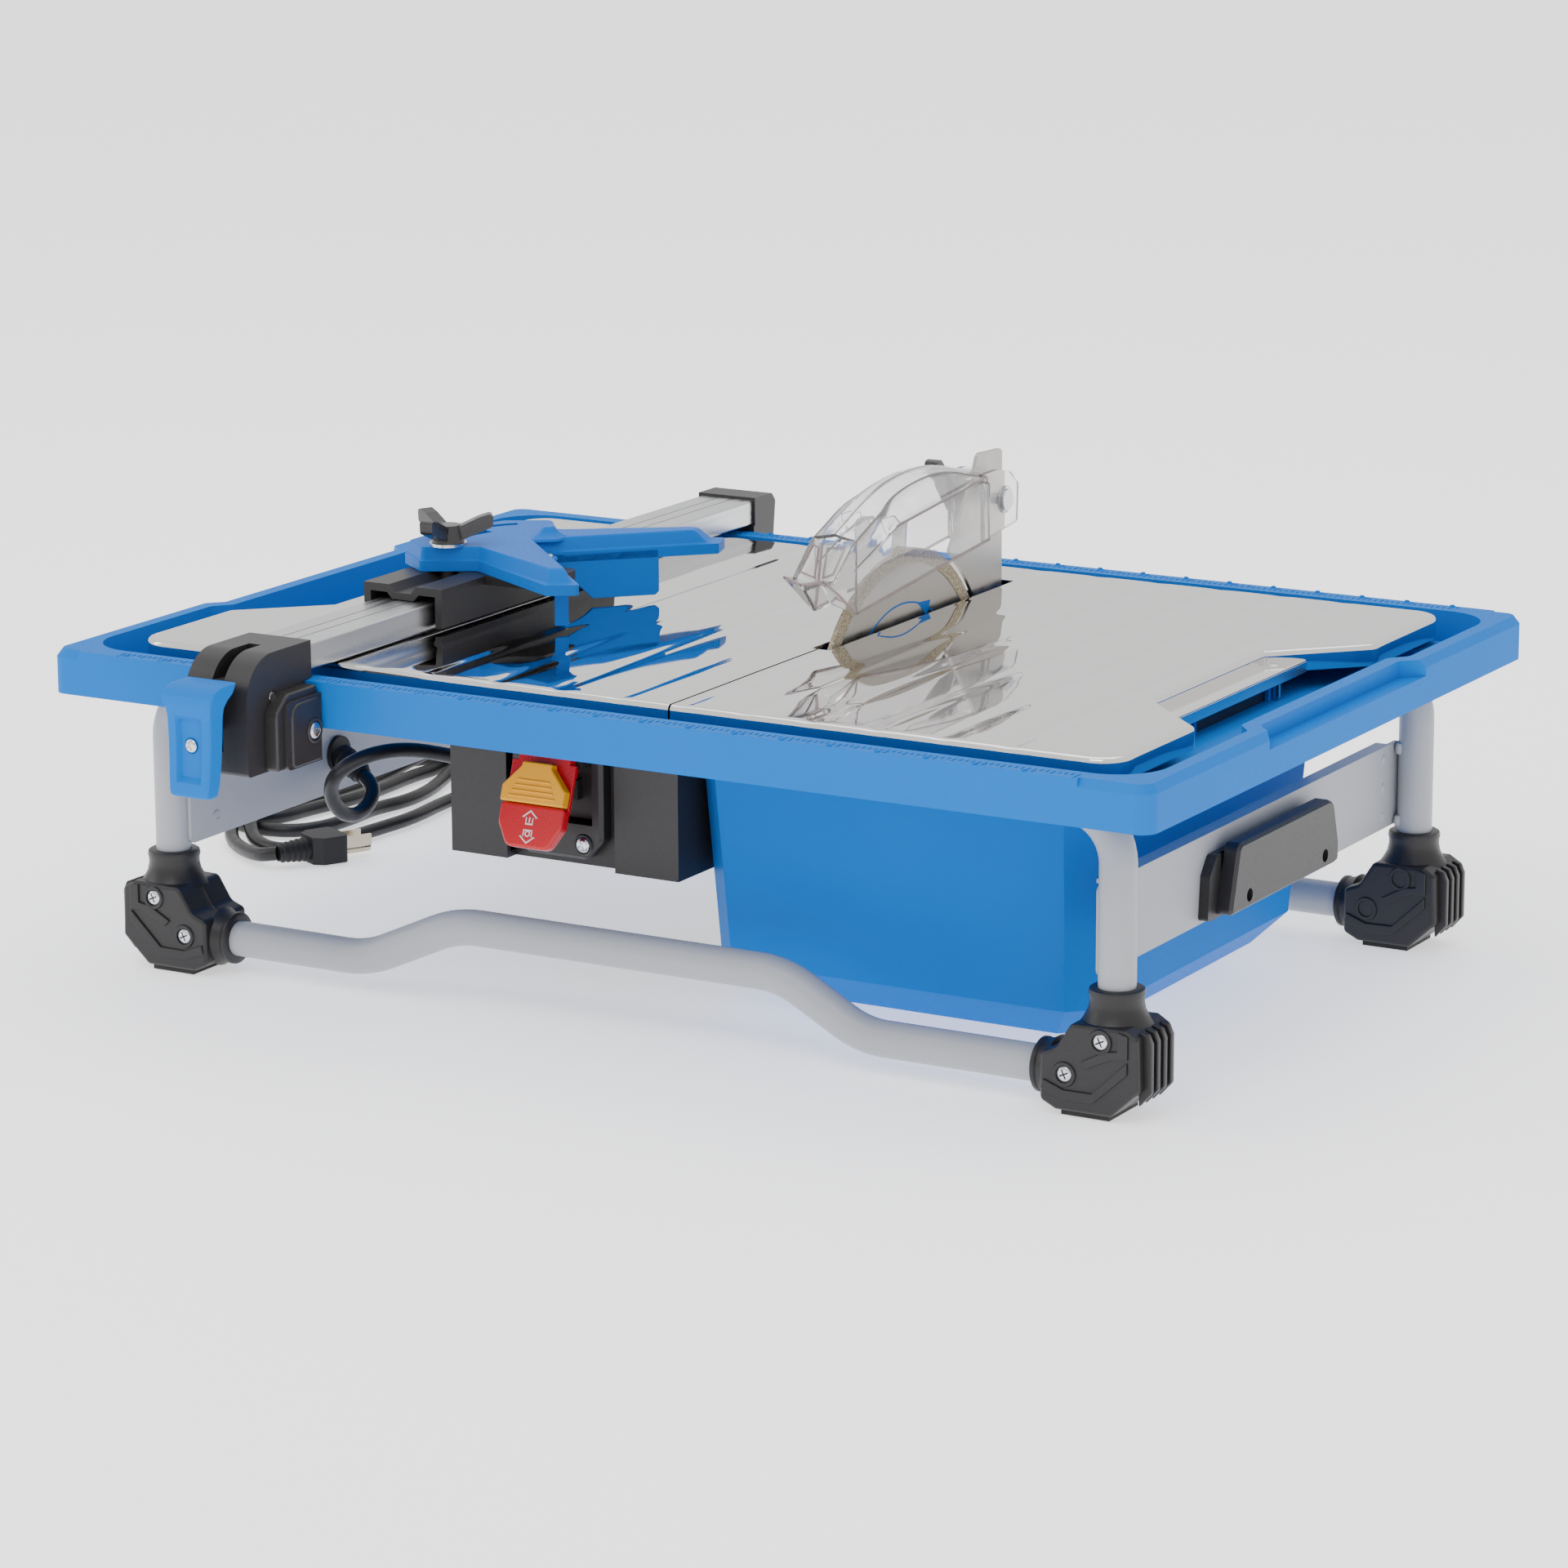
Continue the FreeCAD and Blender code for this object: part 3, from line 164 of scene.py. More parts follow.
M = {}
M["blue"] = plastic("tray_blue", (0, 109, 197), 0.46, 700, 0.00004, 0.04, 0.05)
M["gauge"] = plastic("gauge_blue", (0, 102, 193), 0.40, 900, 0.00005, 0.03, 0.08)
M["black"] = plastic("black_grain", (35, 33, 34), 0.42, 1500, 0.00012, 0.10, 0.5, mottle=30)
M["motor"] = plastic("motor_black", (36, 34, 35), 0.44, 1300, 0.00010, 0.08, 0.5, mottle=20)
M["foot"] = plastic("foot_black", (30, 28, 29), 0.40, 1400, 0.00008, 0.08, 0.42, mottle=24)
M["red"] = plastic("switch_red", (196, 8, 26), 0.28, 1200, 0.00003, 0.04, 0.5)
M["yellow"] = plastic("key_yellow", (240, 166, 6), 0.32, 1200, 0.00004, 0.04, 0.5)
M["knob"] = plastic("knob_black", (42, 40, 41), 0.26, 1200, 0.00005, 0.10, 0.6)
M["rubber"] = plastic("rubber", (30, 29, 30), 0.55, 1500, 0.00008, 0.1, 0.35)
M["cord"] = plastic("cord_jacket", (26, 25, 27), 0.36, 300, 0.00001, 0.08, 0.36)
M["white"] = plastic("white_mark", (225, 225, 225), 0.45, 900, 0.00002, 0.03, 0.4)
M["paint"] = plastic("frame_grey", (162, 164, 168), 0.38, 1100, 0.00007, 0.04, 0.45, mottle=9)
M["mirror"] = metal("table_mirror", (226, 224, 222), 0.035, (1.0, 0.08, 1.0), 0.0, 0.02, scale=240.0)
M["alu"] = metal("fence_alu", (205, 206, 208), 0.30, (300.0, 3.0, 300.0), 0.0, 0.02, scale=1.0)
M["zinc"] = metal("zinc", (205, 208, 214), 0.22, None, 0.00002, 0.08, scale=500)
M["blade"] = metal("blade_steel", (168, 164, 158), 0.34, None, 0.00001, 0.08, scale=70)
M["knife"] = metal("knife_steel", (172, 168, 163), 0.36, (6.0, 60.0, 6.0), 0.00001, 0.06, scale=8)
M["core"] = metal("core_steel", (96, 96, 99), 0.5, None, 0.00003, 0.1, scale=200)
M["copper"] = metal("winding", (190, 105, 60), 0.35, None, 0.0001, 0.15, scale=600)
M["brass"] = metal("contact_metal", (196, 184, 160), 0.25, None, 0.0, 0.05, scale=300)

# sintered rim: coarse tan grit
mt, nt, b = new_mat("diamond_grit")
n1 = noise(nt, 900, 3, 0.8); n2 = noise(nt, 260, 3, 0.6)
cr = nt.nodes.new("ShaderNodeValToRGB")
cr.color_ramp.elements[0].position = 0.36; cr.color_ramp.elements[0].color = (*lin((112, 102, 86)), 1)
cr.color_ramp.elements[1].position = 0.62; cr.color_ramp.elements[1].color = (*lin((204, 191, 164)), 1)
nt.links.new(n1.outputs["Fac"], cr.inputs["Fac"]); nt.links.new(cr.outputs["Color"], b.inputs["Base Color"])
b.inputs["Roughness"].default_value = 0.7; b.inputs["Metallic"].default_value = 0.25
bp = nt.nodes.new("ShaderNodeBump"); bp.inputs["Distance"].default_value = 0.0004
nt.links.new(n2.outputs["Fac"], bp.inputs["Height"]); nt.links.new(bp.outputs["Normal"], b.inputs["Normal"])
M["grit"] = mt

# clear polycarbonate
mt, nt, b = new_mat("clear_guard")
b.inputs["Transmission Weight"].default_value = 0.94
b.inputs["IOR"].default_value = 1.45
b.inputs["Base Color"].default_value = (0.965, 0.955, 0.957, 1)
cn = noise(nt, 12, 2)
nt.links.new(ramp(nt, cn.outputs["Fac"], 0.3, 0.7, 0.015, 0.05), b.inputs["Roughness"])
M["clear"] = mt
mt, nt, b = new_mat("clear_edge")
b.inputs["Transmission Weight"].default_value = 0.72
b.inputs["IOR"].default_value = 1.3
en = noise(nt, 40, 2)
emx = nt.nodes.new("ShaderNodeMix"); emx.data_type = "RGBA"
emx.inputs["A"].default_value = (*lin((176, 158, 156)), 1); emx.inputs["B"].default_value = (*lin((214, 202, 200)), 1)
nt.links.new(en.outputs["Fac"], emx.inputs["Factor"]); nt.links.new(emx.outputs["Result"], b.inputs["Base Color"])
b.inputs["Roughness"].default_value = 0.08
M["edge"] = mt


def dress(node, key):
    o = frame["nodes"][node]
    o.data.materials.clear()
    o.data.materials.append(M[key])
    return o


def soften(o, width, seg=2, angle=35):
    bv = o.modifiers.new("edge", "BEVEL")
    bv.width = width; bv.segments = seg; bv.limit_method = "ANGLE"; bv.angle_limit = math.radians(angle)
    bv.harden_normals = False; bv.use_clamp_overlap = True
    wn = o.modifiers.new("wn", "WEIGHTED_NORMAL"); wn.keep_sharp = False; wn.weight = 80
    return o


# ------------------------------------------------------------------ power lead
def nurbs(name, pts, dia, mat):
    cu = bpy.data.curves.new(name, "CURVE")
    cu.dimensions = "3D"
    sp = cu.splines.new("NURBS")
    sp.points.add(len(pts) - 1)
    for i, p in enumerate(pts):
        sp.points[i].co = (*P(*p), 1)
    sp.order_u = 3
    sp.use_endpoint_u = True
    sp.resolution_u = 10
    cu.bevel_depth = dia / 2; cu.bevel_resolution = 6
    cu.use_fill_caps = True
    o = bpy.data.objects.new(name, cu)
    bpy.context.collection.objects.link(o)
    cu.materials.append(mat)
    return o


route = [(-236.011, -45.896, 76.105), (-226.337, -49.194, 72.038), (-223.5, -59.5, 64.5), (-223.3, -71.0, 61.5), (-223.8, -82.0, 64.2), (-223.6, -91.5, 72.0),
         (-220.6, -98.5, 82.3), (-213.3, -103.5, 91.5), (-203.0, -101.5, 99.5), (-193.7, -91.0, 103.0), (-187.5, -73.5, 101.4), (-181.6, -51.7, 95.0),
         (-177.4, -26.5, 86.1), (-176, 4, 74), (-184, 35, 57), (-194, 66, 35), (-207, 94, 15.5), (-229, 116, 4.4), (-258, 126, 4.4), (-286, 138, 4.4),
         (-306, 158, 4.4), (-318, 186, 4.4), (-319, 212, 4.4)]
turns = [(-324, 236, 4.4), (-338, 258, 4.4), (-362, 268, 4.4), (-388, 264, 4.4), (-404, 246, 4.4), (-410, 216, 4.4), (-410, 180, 4.4), (-411, 146, 4.4),
         (-412, 116, 4.4), (-409, 94, 4.4), (-398, 84, 4.4), (-389, 96, 4.4), (-386, 120, 4.4), (-378, 150, 4.4), (-378, 182, 4.4), (-380, 212, 4.4),
         (-376, 238, 5), (-381, 254, 7), (-394, 256, 10), (-410, 250, 12.4), (-418, 234, 9), (-419, 204, 4.4), (-419, 168, 4.4), (-419, 132, 4.4),
         (-418, 100, 4.4), (-413, 78, 4.4), (-398, 68, 4.4), (-380, 67, 4.4), (-364, 72, 4.4), (-355, 88, 4.4), (-353, 112, 4.4), (-355, 136, 4.4),
         (-349, 160, 4.4), (-351, 186, 4.4), (-360, 216, 4.4), (-365, 238, 8), (-376, 252, 12.4), (-388, 250, 12.4), (-394, 232, 8), (-394, 205, 4.4),
         (-394, 170, 4.4), (-394, 136, 5), (-394, 106, 12.2), (-393, 82, 12.4), (-388, 62, 12), (-376, 47, 6), (-362, 37, 4.4), (-347, 33, 4.4),
         (-335, 43, 4.4), (-330, 66, 4.4), (-327, 95, 4.4), (-323.5, 128, 4.4), (-328, 164, 4.4), (-329, 196, 4.4), (-335, 222, 4.4), (-347, 240, 8),
         (-362, 250, 17), (-380, 250, 20.2), (-395, 236, 18), (-402, 220, 10), (-402, 206, 5), (-402, 170, 4.4), (-402, 136, 5), (-402, 106, 12.2),
         (-402, 80, 12.4), (-396, 56, 9), (-384, 39, 4.4), (-367, 25, 4.4), (-350, 15, 5.5), (-341, 12, 7.2), (-335, 14, 8.2)]
cord = nurbs("mains_cord", route + turns, 0.0078, M["cord"])
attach(cord, "base")
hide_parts("cord_lead", "cord_hank")


# ------------------------------------------------------------------ mesh helpers (drawing millimetres in, metres out)
def mesh(name, verts, faces, key, body="base", smooth=40, own=None):
    me = bpy.data.meshes.new(name)
    me.from_pydata([tuple(P(*v)) for v in verts], [], faces)
    bm = bmesh.new(); bm.from_mesh(me)
    bmesh.ops.remove_doubles(bm, verts=bm.verts, dist=1e-7)
    bmesh.ops.recalc_face_normals(bm, faces=bm.faces)
    bm.to_mesh(me); bm.free()
    o = bpy.data.objects.new(name, me)
    bpy.context.collection.objects.link(o)
    me.materials.append(own or M[key])
    shade(o, smooth)
    if body:
        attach(o, body)
    return o


def shade(o, angle=40):
    me = o.data
    for p in me.polygons:
        p.use_smooth = True
    me.set_sharp_from_angle(angle=math.radians(angle))


def rnd(pts, seg=5):
    """Outline with rounded corners, same number of points for every corner of one radius kind."""
    out, n = [], len(pts)
    for i in range(n):
        p = pts[i]; r = p[2] if len(p) > 2 else 0
        q = Vector((p[0], p[1]))
        if r <= 0:
            out.append(q); continue
        a = (Vector(pts[i - 1][:2]) - q).normalized(); b = (Vector(pts[(i + 1) % n][:2]) - q).normalized()
        ang = a.angle(b)
        t = r / math.tan(ang / 2)
        s, e = q + a * t, q + b * t
        c = q + (a + b).normalized() * (r / math.sin(ang / 2))
        va, vb = s - c, e - c
        tot = va.angle(vb)
        sg = 1 if va.x * vb.y - va.y * vb.x > 0 else -1
        for k in range(seg + 1):
            th = sg * tot * k / seg
            out.append(c + Vector((va.x * math.cos(th) - va.y * math.sin(th), va.x * math.sin(th) + va.y * math.cos(th))))
    return out


def fr(plane, u, v, w):
    return (u, v, w) if plane == "xy" else (u, w, v) if plane == "xz" else (w, u, v)


def loft(name, rings, key, body="base", bev=0.0, seg=2, ang=30, smooth=40, closed=True):
    """rings: lists of 3D points, all the same length."""
    n = len(rings[0]); verts = [p for r in rings for p in r]; faces = []
    for i in range(len(rings) - 1):
        for j in range(n):
            k = (j + 1) % n
            faces.append((i * n + j, i * n + k, (i + 1) * n + k, (i + 1) * n + j))
    if closed:
        faces.append(tuple(range(n))); faces.append(tuple((len(rings) - 1) * n + j for j in range(n)))
    o = mesh(name, verts, faces, key, body, smooth)
    if bev:
        soften(o, bev / 1000.0, seg, ang)
    return o


def solid(name, plane, pts, a, b, key, body="base", bev=0.0, seg=2, rs=5, ang=30):
    q = rnd(pts, rs)
    return loft(name, [[fr(plane, p.x, p.y, a) for p in q], [fr(plane, p.x, p.y, b) for p in q]], key, body, bev, seg, ang)


def lathe(name, axis, c, prof, key, body="base", n=40, cap=True):
    """prof: (radius, along) pairs; c the centre in the other two coordinates."""
    rings = []
    for r, w in prof:
        ring = []
        for k in range(n):
            a = 2 * math.pi * k / n
            u, v = c[0] + r * math.cos(a), c[1] + r * math.sin(a)
            ring.append((w, u, v) if axis == "x" else (u, w, v) if axis == "y" else (u, v, w))
        rings.append(ring)
    return loft(name, rings, key, body, closed=cap)


def bake(o, *cutters):
    """Cut the cutters out of o and keep the result as plain mesh."""
    for c in cutters:
        md = o.modifiers.new("cut", "BOOLEAN"); md.object = c; md.operation = "DIFFERENCE"; md.solver = "EXACT"
    dg = bpy.context.evaluated_depsgraph_get(); dg.update()
    me = bpy.data.meshes.new_from_object(o.evaluated_get(dg))
    o.modifiers.clear(); o.data = me
    for c in cutters:
        bpy.data.objects.remove(c)
    shade(o)
    return o


def phillips(name, axis, at, r, out, body="base", dome=0.9, h=1.9):
    """Pan-head cross screw. at = centre of the head's seat, out = +1/-1 along the axis."""
    i = "xyz".index(axis)
    c = [at[k] for k in range(3) if k != i]
    prof = [(r * 0.985, at[i]), (r, at[i] + out * 0.3), (r, at[i] + out * (h - dome)), (r * 0.86, at[i] + out * (h - dome * 0.35)), (r * 0.6, at[i] + out * h * 0.98), (r * 0.3, at[i] + out * h), (0.01, at[i] + out * h)]
    o = lathe(name, axis, c, prof, "zinc", None, 28)
    cs = []
    for rot in (25, 115):
        w, l = r * 0.2, r * 0.62
        q = []
        for du, dv in ((-l, -w / 2), (l, -w / 2), (l, w / 2), (-l, w / 2)):
            a = math.radians(rot)
            q.append((c[0] + du * math.cos(a) - dv * math.sin(a), c[1] + du * math.sin(a) + dv * math.cos(a)))
        def pt(u, v, w_): return (w_, u, v) if axis == "x" else (u, w_, v) if axis == "y" else (u, v, w_)
        s0, s1 = at[i] + out * h * 0.45, at[i] + out * (h + 1)
        cs.append(loft("c", [[pt(*p, s0) for p in q], [pt(*p, s1) for p in q]], "zinc", None))
    o = bake(o, *cs)
    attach(o, body)
    return o


def smoothstep(t):
    t = max(0.0, min(1.0, t)); return t * t * (3 - 2 * t)


def spline(tab, x):
    """Monotone-ish interpolation of a table of (x, y)."""
    if x <= tab[0][0]: return tab[0][1]
    if x >= tab[-1][0]: return tab[-1][1]
    for i in range(len(tab) - 1):
        if tab[i][0] <= x <= tab[i + 1][0]:
            x0, y0 = tab[i]; x1, y1 = tab[i + 1]
            xm, ym = tab[i - 1] if i > 0 else (2 * x0 - x1, 2 * y0 - y1)
            xp, yp = tab[i + 2] if i + 2 < len(tab) else (2 * x1 - x0, 2 * y1 - y0)
            h = x1 - x0; t = (x - x0) / h
            m0 = (y1 - ym) / (x1 - xm) * h; m1 = (yp - y0) / (xp - x0) * h
            return (2 * t**3 - 3 * t**2 + 1) * y0 + (t**3 - 2 * t**2 + t) * m0 + (-2 * t**3 + 3 * t**2) * y1 + (t**3 - t**2) * m1


# ------------------------------------------------------------------ polished table sheet
TZ = 172.0


def rib(x, y):
    """Pressed corrugation: shallow round-bottomed valleys between flat lands, and a very slight waviness."""
    u = ((x - 36.4) % 35.2)
    v = 0.0
    if u < 13.5 and abs(x) < 228:
        s = u / 13.5
        v = -0.42 * math.sin(math.pi * s) ** 1.4
    elif abs(x) < 228:
        s = (u - 13.5) / 21.7
        v = 0.07 * math.sin(math.pi * s)
    if 33 < x < 46 and -48 < y < 156:
        v = 0
    end = min(smoothstep((187 - abs(y)) / 7.0), 1.0)
    far = smoothstep((228 - abs(x)) / 6.0)
    wav = 0.035 * math.sin(x * 0.031 + y * 0.017 + 1.3) + 0.04 * math.sin(y * 0.047 - x * 0.011) + 0.02 * math.sin(y * 0.12 + x * 0.05)
    edge = smoothstep((187 - abs(y)) / 25.0) * smoothstep((276 - abs(x)) / 25.0)
    return v * (0.35 + 0.65 * end) * far * (1 if end > 0 else 0) + wav * edge


TL, TD = 276.0, 187.0
slit_y0, slit_y1 = -44.0, 153.0
outl = [(-TL, -TD, 16), (37.2, -TD), (37.2, -44.0), (34.0, -44.0), (34.0, 153.0), (44.4, 153.0), (44.4, -44.0), (38.3, -44.0), (38.3, -TD),
        (TL, -TD, 16), (TL, -106, 6), (235, -66, 8), (235, 58, 8), (TL, 100, 8), (TL, TD, 16),
        (-TL, TD, 16), (-TL, 100, 8), (-235, 58, 8), (-235, -66, 8), (-TL, -106, 6)]
INS = 2.6
pl2 = rnd(outl, 8)
n = len(pl2)
inner = []
for i in range(n):
    a, p, b2 = pl2[i - 1], pl2[i], pl2[(i + 1) % n]
    d1, d2 = (p - a), (b2 - p)
    if d1.length < 1e-6: d1 = d2
    if d2.length < 1e-6: d2 = d1
    d1 = d1.normalized(); d2 = d2.normalized()
    n1 = Vector((-d1.y, d1.x)); n2 = Vector((-d2.y, d2.x))
    nn = (n1 + n2)
    nn = nn / max(0.2, nn.dot(n1)) if nn.length > 1e-6 else n1
    slot_v = 33.5 < p.x < 45 and (-44.5 < p.y < 153.5)
    mouth = 33.5 < p.x < 45 and p.y < -186
    inner.append(p.copy() if slot_v else (Vector((p.x, p.y + INS)) if mouth else p + nn * INS))
bm = bmesh.new()
vs = [bm.verts.new((p.x, p.y, 0)) for p in inner]
f = bm.faces.new(vs)
xs = set()
k = -9
while k < 8:
    x0 = 36.4 + 35.2 * k
    for q in (0, 1.5, 3.2, 5, 6.75, 8.5, 10.3, 12, 13.5, 17, 21, 24.4, 28, 31.5):
        xs.add(round(x0 + q, 3))
    k += 1
xs |= {235.0, -235.0, 33.0, 45.4, 228.0, -228.0, 242, -242, 255, -255, 266, -266}
for x in sorted(xs):
    if -272 < x < 272:
        bmesh.ops.bisect_plane(bm, geom=bm.verts[:] + bm.edges[:] + bm.faces[:], plane_co=(x, 0, 0), plane_no=(1, 0, 0), dist=1e-4)
for y in [-181, -178, -174, -170, -160, -150] + list(range(-140, 141, 10)) + [150, 160, 170, 174, 178, 181, -48, 156]:
    bmesh.ops.bisect_plane(bm, geom=bm.verts[:] + bm.edges[:] + bm.faces[:], plane_co=(0, y, 0), plane_no=(0, 1, 0), dist=1e-4)
for v in bm.verts:
    v.co.z = rib(v.co.x, v.co.y)
bverts = [v for v in bm.verts if v.is_boundary]
info = {}
for v in bverts:
    p = v.co.xy
    slot_v = 33.5 < p.x < 45 and (-44.5 < p.y < 153.5)
    mouth = (37.1 < p.x < 38.4) and p.y < -44.5
    es = [e for e in v.link_edges if e.is_boundary]
    nn = Vector((0, 0)); dirs = []
    for e in es:
        o2 = e.other_vert(v).co.xy - p
        dirs.append(o2.normalized())
        fc = e.link_faces[0].calc_center_median().xy
        mid = (e.other_vert(v).co.xy + p) / 2
        m2 = Vector((-o2.y, o2.x)).normalized()
        if m2.dot(mid - fc) < 0: m2 = -m2
        nn += m2
    nn = nn.normalized() if nn.length > 1e-6 else Vector((0, 0))
    half = max(0.4, math.sin(max(0.05, dirs[0].angle(dirs[1])) / 2)) if len(dirs) > 1 else 1
    if slot_v or (mouth and p.y > -184): nn = Vector((0, 0)); half = 1
    elif 36.9 < p.x < 38.6 and p.y < -184: nn = Vector((0, -1)); half = 1
    info[v] = (nn / half, v.co.copy(), bool(nn.length < 1e-6))
bedges = [(e.verts[0], e.verts[1]) for e in bm.edges if e.is_boundary]
steps = [(0.35, -0.05), (0.95, -0.22), (1.6, -0.62), (2.2, -1.3), (2.52, -2.1), (2.6, -3.0), (2.6, -10.6), (2.4, -11.0), (1.4, -11.0), (1.3, -10.6)]
prev = {v: v for v in bverts}
for d, z in steps:
    cur = {}
    for v in bverts:
        nn, base, isslot = info[v]
        if isslot:
            zz = base.z + (z if z > -1.5 else -1.5)
            dd = 0
        else:
            zz = base.z * max(0.0, 1 + z / 3.0) + z; dd = d
        cur[v] = bm.verts.new((base.x + nn.x * dd, base.y + nn.y * dd, zz))
    for a, b2 in bedges:
        try:
            bm.faces.new((prev[a], prev[b2], cur[b2], cur[a]))
        except ValueError:
            pass
    prev = cur
bmesh.ops.recalc_face_normals(bm, faces=bm.faces)
for v in bm.verts:
    v.co = P(v.co.x, v.co.y, v.co.z + TZ)
me = bpy.data.meshes.new("table_sheet"); bm.to_mesh(me); bm.free()
table = bpy.data.objects.new("table_sheet", me); bpy.context.collection.objects.link(table)
me.materials.append(M["mirror"])
shade(table, 60)
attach(table, "base"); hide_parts("table_top")
for s in (-1, 1):
    # stepped ledge pressed into each side notch
    q = [(s * 233.5, -81), (s * 246.5, -81, 3), (s * 250, -77, 3), (s * 250, 73, 3), (s * 246.5, 77, 3), (s * 233.5, 77)]
    if s < 0: q = q[::-1]
    loftz = solid("notch_ledge_%s" % ("l" if s < 0 else "r"), "xy", q, 165.2, 166.7, "mirror", bev=0.6)
    w = [(s * 248.6, -78), (s * 250, -78), (s * 250, 74), (s * 248.6, 74)]
    solid("notch_lip_%s" % ("l" if s < 0 else "r"), "xy", w, 160.0, 165.6, "mirror", bev=0.3)

# ------------------------------------------------------------------ clear guard
BX, BY, BZ = 39.0, 38.5, 119.0
zc_t = [(-29, 225.6), (-16, 230.6), (-6, 234.6), (8, 239.4), (25, 243.2), (45, 245.3), (62, 245.3), (80, 242.8), (95, 239.2), (112, 235.6)]


def guard_rings(inset):
    rings = []
    for y in [-29, -26, -20, -14, -8, -4, 0, 4, 8, 12, 16, 22, 28, 35, 42, 50, 58, 66, 74, 82, 90, 98, 105, 110, 112.2]:
        zb = 188 + (y + 28) / 140.4 * 13.6
        zc = spline(zc_t, y)
        t = smoothstep((y + 4) / 20.0)
        zl = 226.2 + (y - 16) * 0.098 if y > 16 else 226.2 - (16 - y) * 0.35
        zl = min(zl, zc - 3.5)
        hw, wu = 12.5, 12.5 - 2.6 * t
        sec = [(hw, zb), (hw, zb + 1.0), (hw, (zb + zl) / 2), (hw, zl - 1.2), (hw - 0.35, zl - 0.3), (hw - 0.9 * t - 0.2, zl + 0.15), (wu + 0.5 * t, zl + 0.4 * t), (wu, zl + 0.9),
               (wu, (zl + zc) / 2), (wu, zc - 1.3), (wu - 0.35, zc - 0.4), (wu - 1.2, zc + 0.1), (6.0, zc + 1.0), (2.2, zc + 1.7), (0.9, zc + 2.2)]
        full = [(BX + a, y, b) for a, b in sec] + [(BX - a, y, b) for a, b in reversed(sec)]
        rings.append(full)
    return rings


gr = guard_rings(0)
nv = len(gr[0]); verts = [p for r in gr for p in r]; faces = []
for i in range(len(gr) - 1):
    for j in range(nv - 1):
        faces.append((i * nv + j, i * nv + j + 1, (i + 1) * nv + j + 1, (i + 1) * nv + j))
A0 = len(verts)
# nose: two framed trapezoids meeting at a centre seam, then the flared pouring lip
nose = [(-12.5, -29, 225.6), (0, -41.5, 225.2), (12.5, -29, 225.6),      # 0 1 2 top edge
        (-11.9, -50.0, 208.6), (0, -46.0, 205.0), (11.9, -50.0, 208.6),   # 3 4 5 lip root
        (-11.2, -60.0, 210.2), (0, -63.0, 207.6), (11.2, -60.0, 210.2),   # 6 7 8 lip rim
        (-7.5, -45.0, 195.5), (0, -50.0, 192.3), (7.5, -45.0, 195.5),     # 9 10 11 lower edge
        (-12.5, -29, 188.0), (12.5, -29, 188.0), (-12.5, -29, 206.5), (12.5, -29, 206.5)]   # 12 13 14 15
verts += [(BX + a, b2, c) for a, b2, c in nose]
F = lambda *q: faces.append(tuple(A0 + w for w in q))
F(0, 1, 4, 3); F(1, 2, 5, 4)
F(3, 4, 7, 6); F(4, 5, 8, 7)
F(6, 7, 10, 9); F(7, 8, 11, 10)
F(6, 9, 12, 14, 3); F(8, 5, 15, 13, 11)
F(0, 3, 14); F(2, 15, 5)
# the crown's closing faces on to the nose's top edge are switched off here; the cap below fills that gap
top = [j for j in range(11, nv - 11)]
F(0, 1, 2) if False else None
faces.append(tuple([j for j in range(nv - 12, 10, -1)] + [A0 + 2, A0 + 1, A0 + 0])) if False else None
hood = mesh("guard_shell", verts, faces, "clear", None, 28)
bm = bmesh.new(); bm.from_mesh(hood.data)
bmesh.ops.remove_doubles(bm, verts=bm.verts, dist=0.0004)
# cap between the crown's front section and the nose
edges = [e for e in bm.edges if e.is_boundary and all(abs((v.co.y - SY) * 1000 + 29) < 13 and v.co.z * 1000 > 224.8 for v in e.verts)]
try:
    bmesh.ops.holes_fill(bm, edges=edges, sides=0)
except Exception:
    pass
bmesh.ops.recalc_face_normals(bm, faces=bm.faces)
bm.to_mesh(hood.data); bm.free()
sol = hood.modifiers.new("wall", "SOLIDIFY"); sol.thickness = 0.0018; sol.offset = 1 if False else -1; sol.use_even_offset = True; sol.use_quality_normals = True
bake(hood)
shade(hood, 28)
bv = hood.modifiers.new("edge", "BEVEL"); bv.width = 0.00045; bv.segments = 2; bv.limit_method = "ANGLE"; bv.angle_limit = math.radians(28)
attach(hood, "guard")
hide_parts("guard_hood")
# raised frames round the nose faces and a bead along the centre seam and lower edges
def bead(name, pts, r, key, body, res=6, closed=False):
    cu = bpy.data.curves.new(name, "CURVE"); cu.dimensions = "3D"
    sp = cu.splines.new("POLY"); sp.points.add(len(pts) - 1)
    for i, p in enumerate(pts):
        sp.points[i].co = (*P(*p), 1)
    sp.use_cyclic_u = closed
    cu.bevel_depth = r / 1000.0; cu.bevel_resolution = res; cu.use_fill_caps = True
    t = bpy.data.objects.new(name + "_c", cu); bpy.context.collection.objects.link(t)
    dg = bpy.context.evaluated_depsgraph_get(); dg.update()
    me = bpy.data.meshes.new_from_object(t.evaluated_get(dg))
    bpy.data.objects.remove(t)
    o = bpy.data.objects.new(name, me); bpy.context.collection.objects.link(o)
    me.materials.clear(); me.materials.append(M[key]); shade(o, 50)
    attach(o, body)
    return o


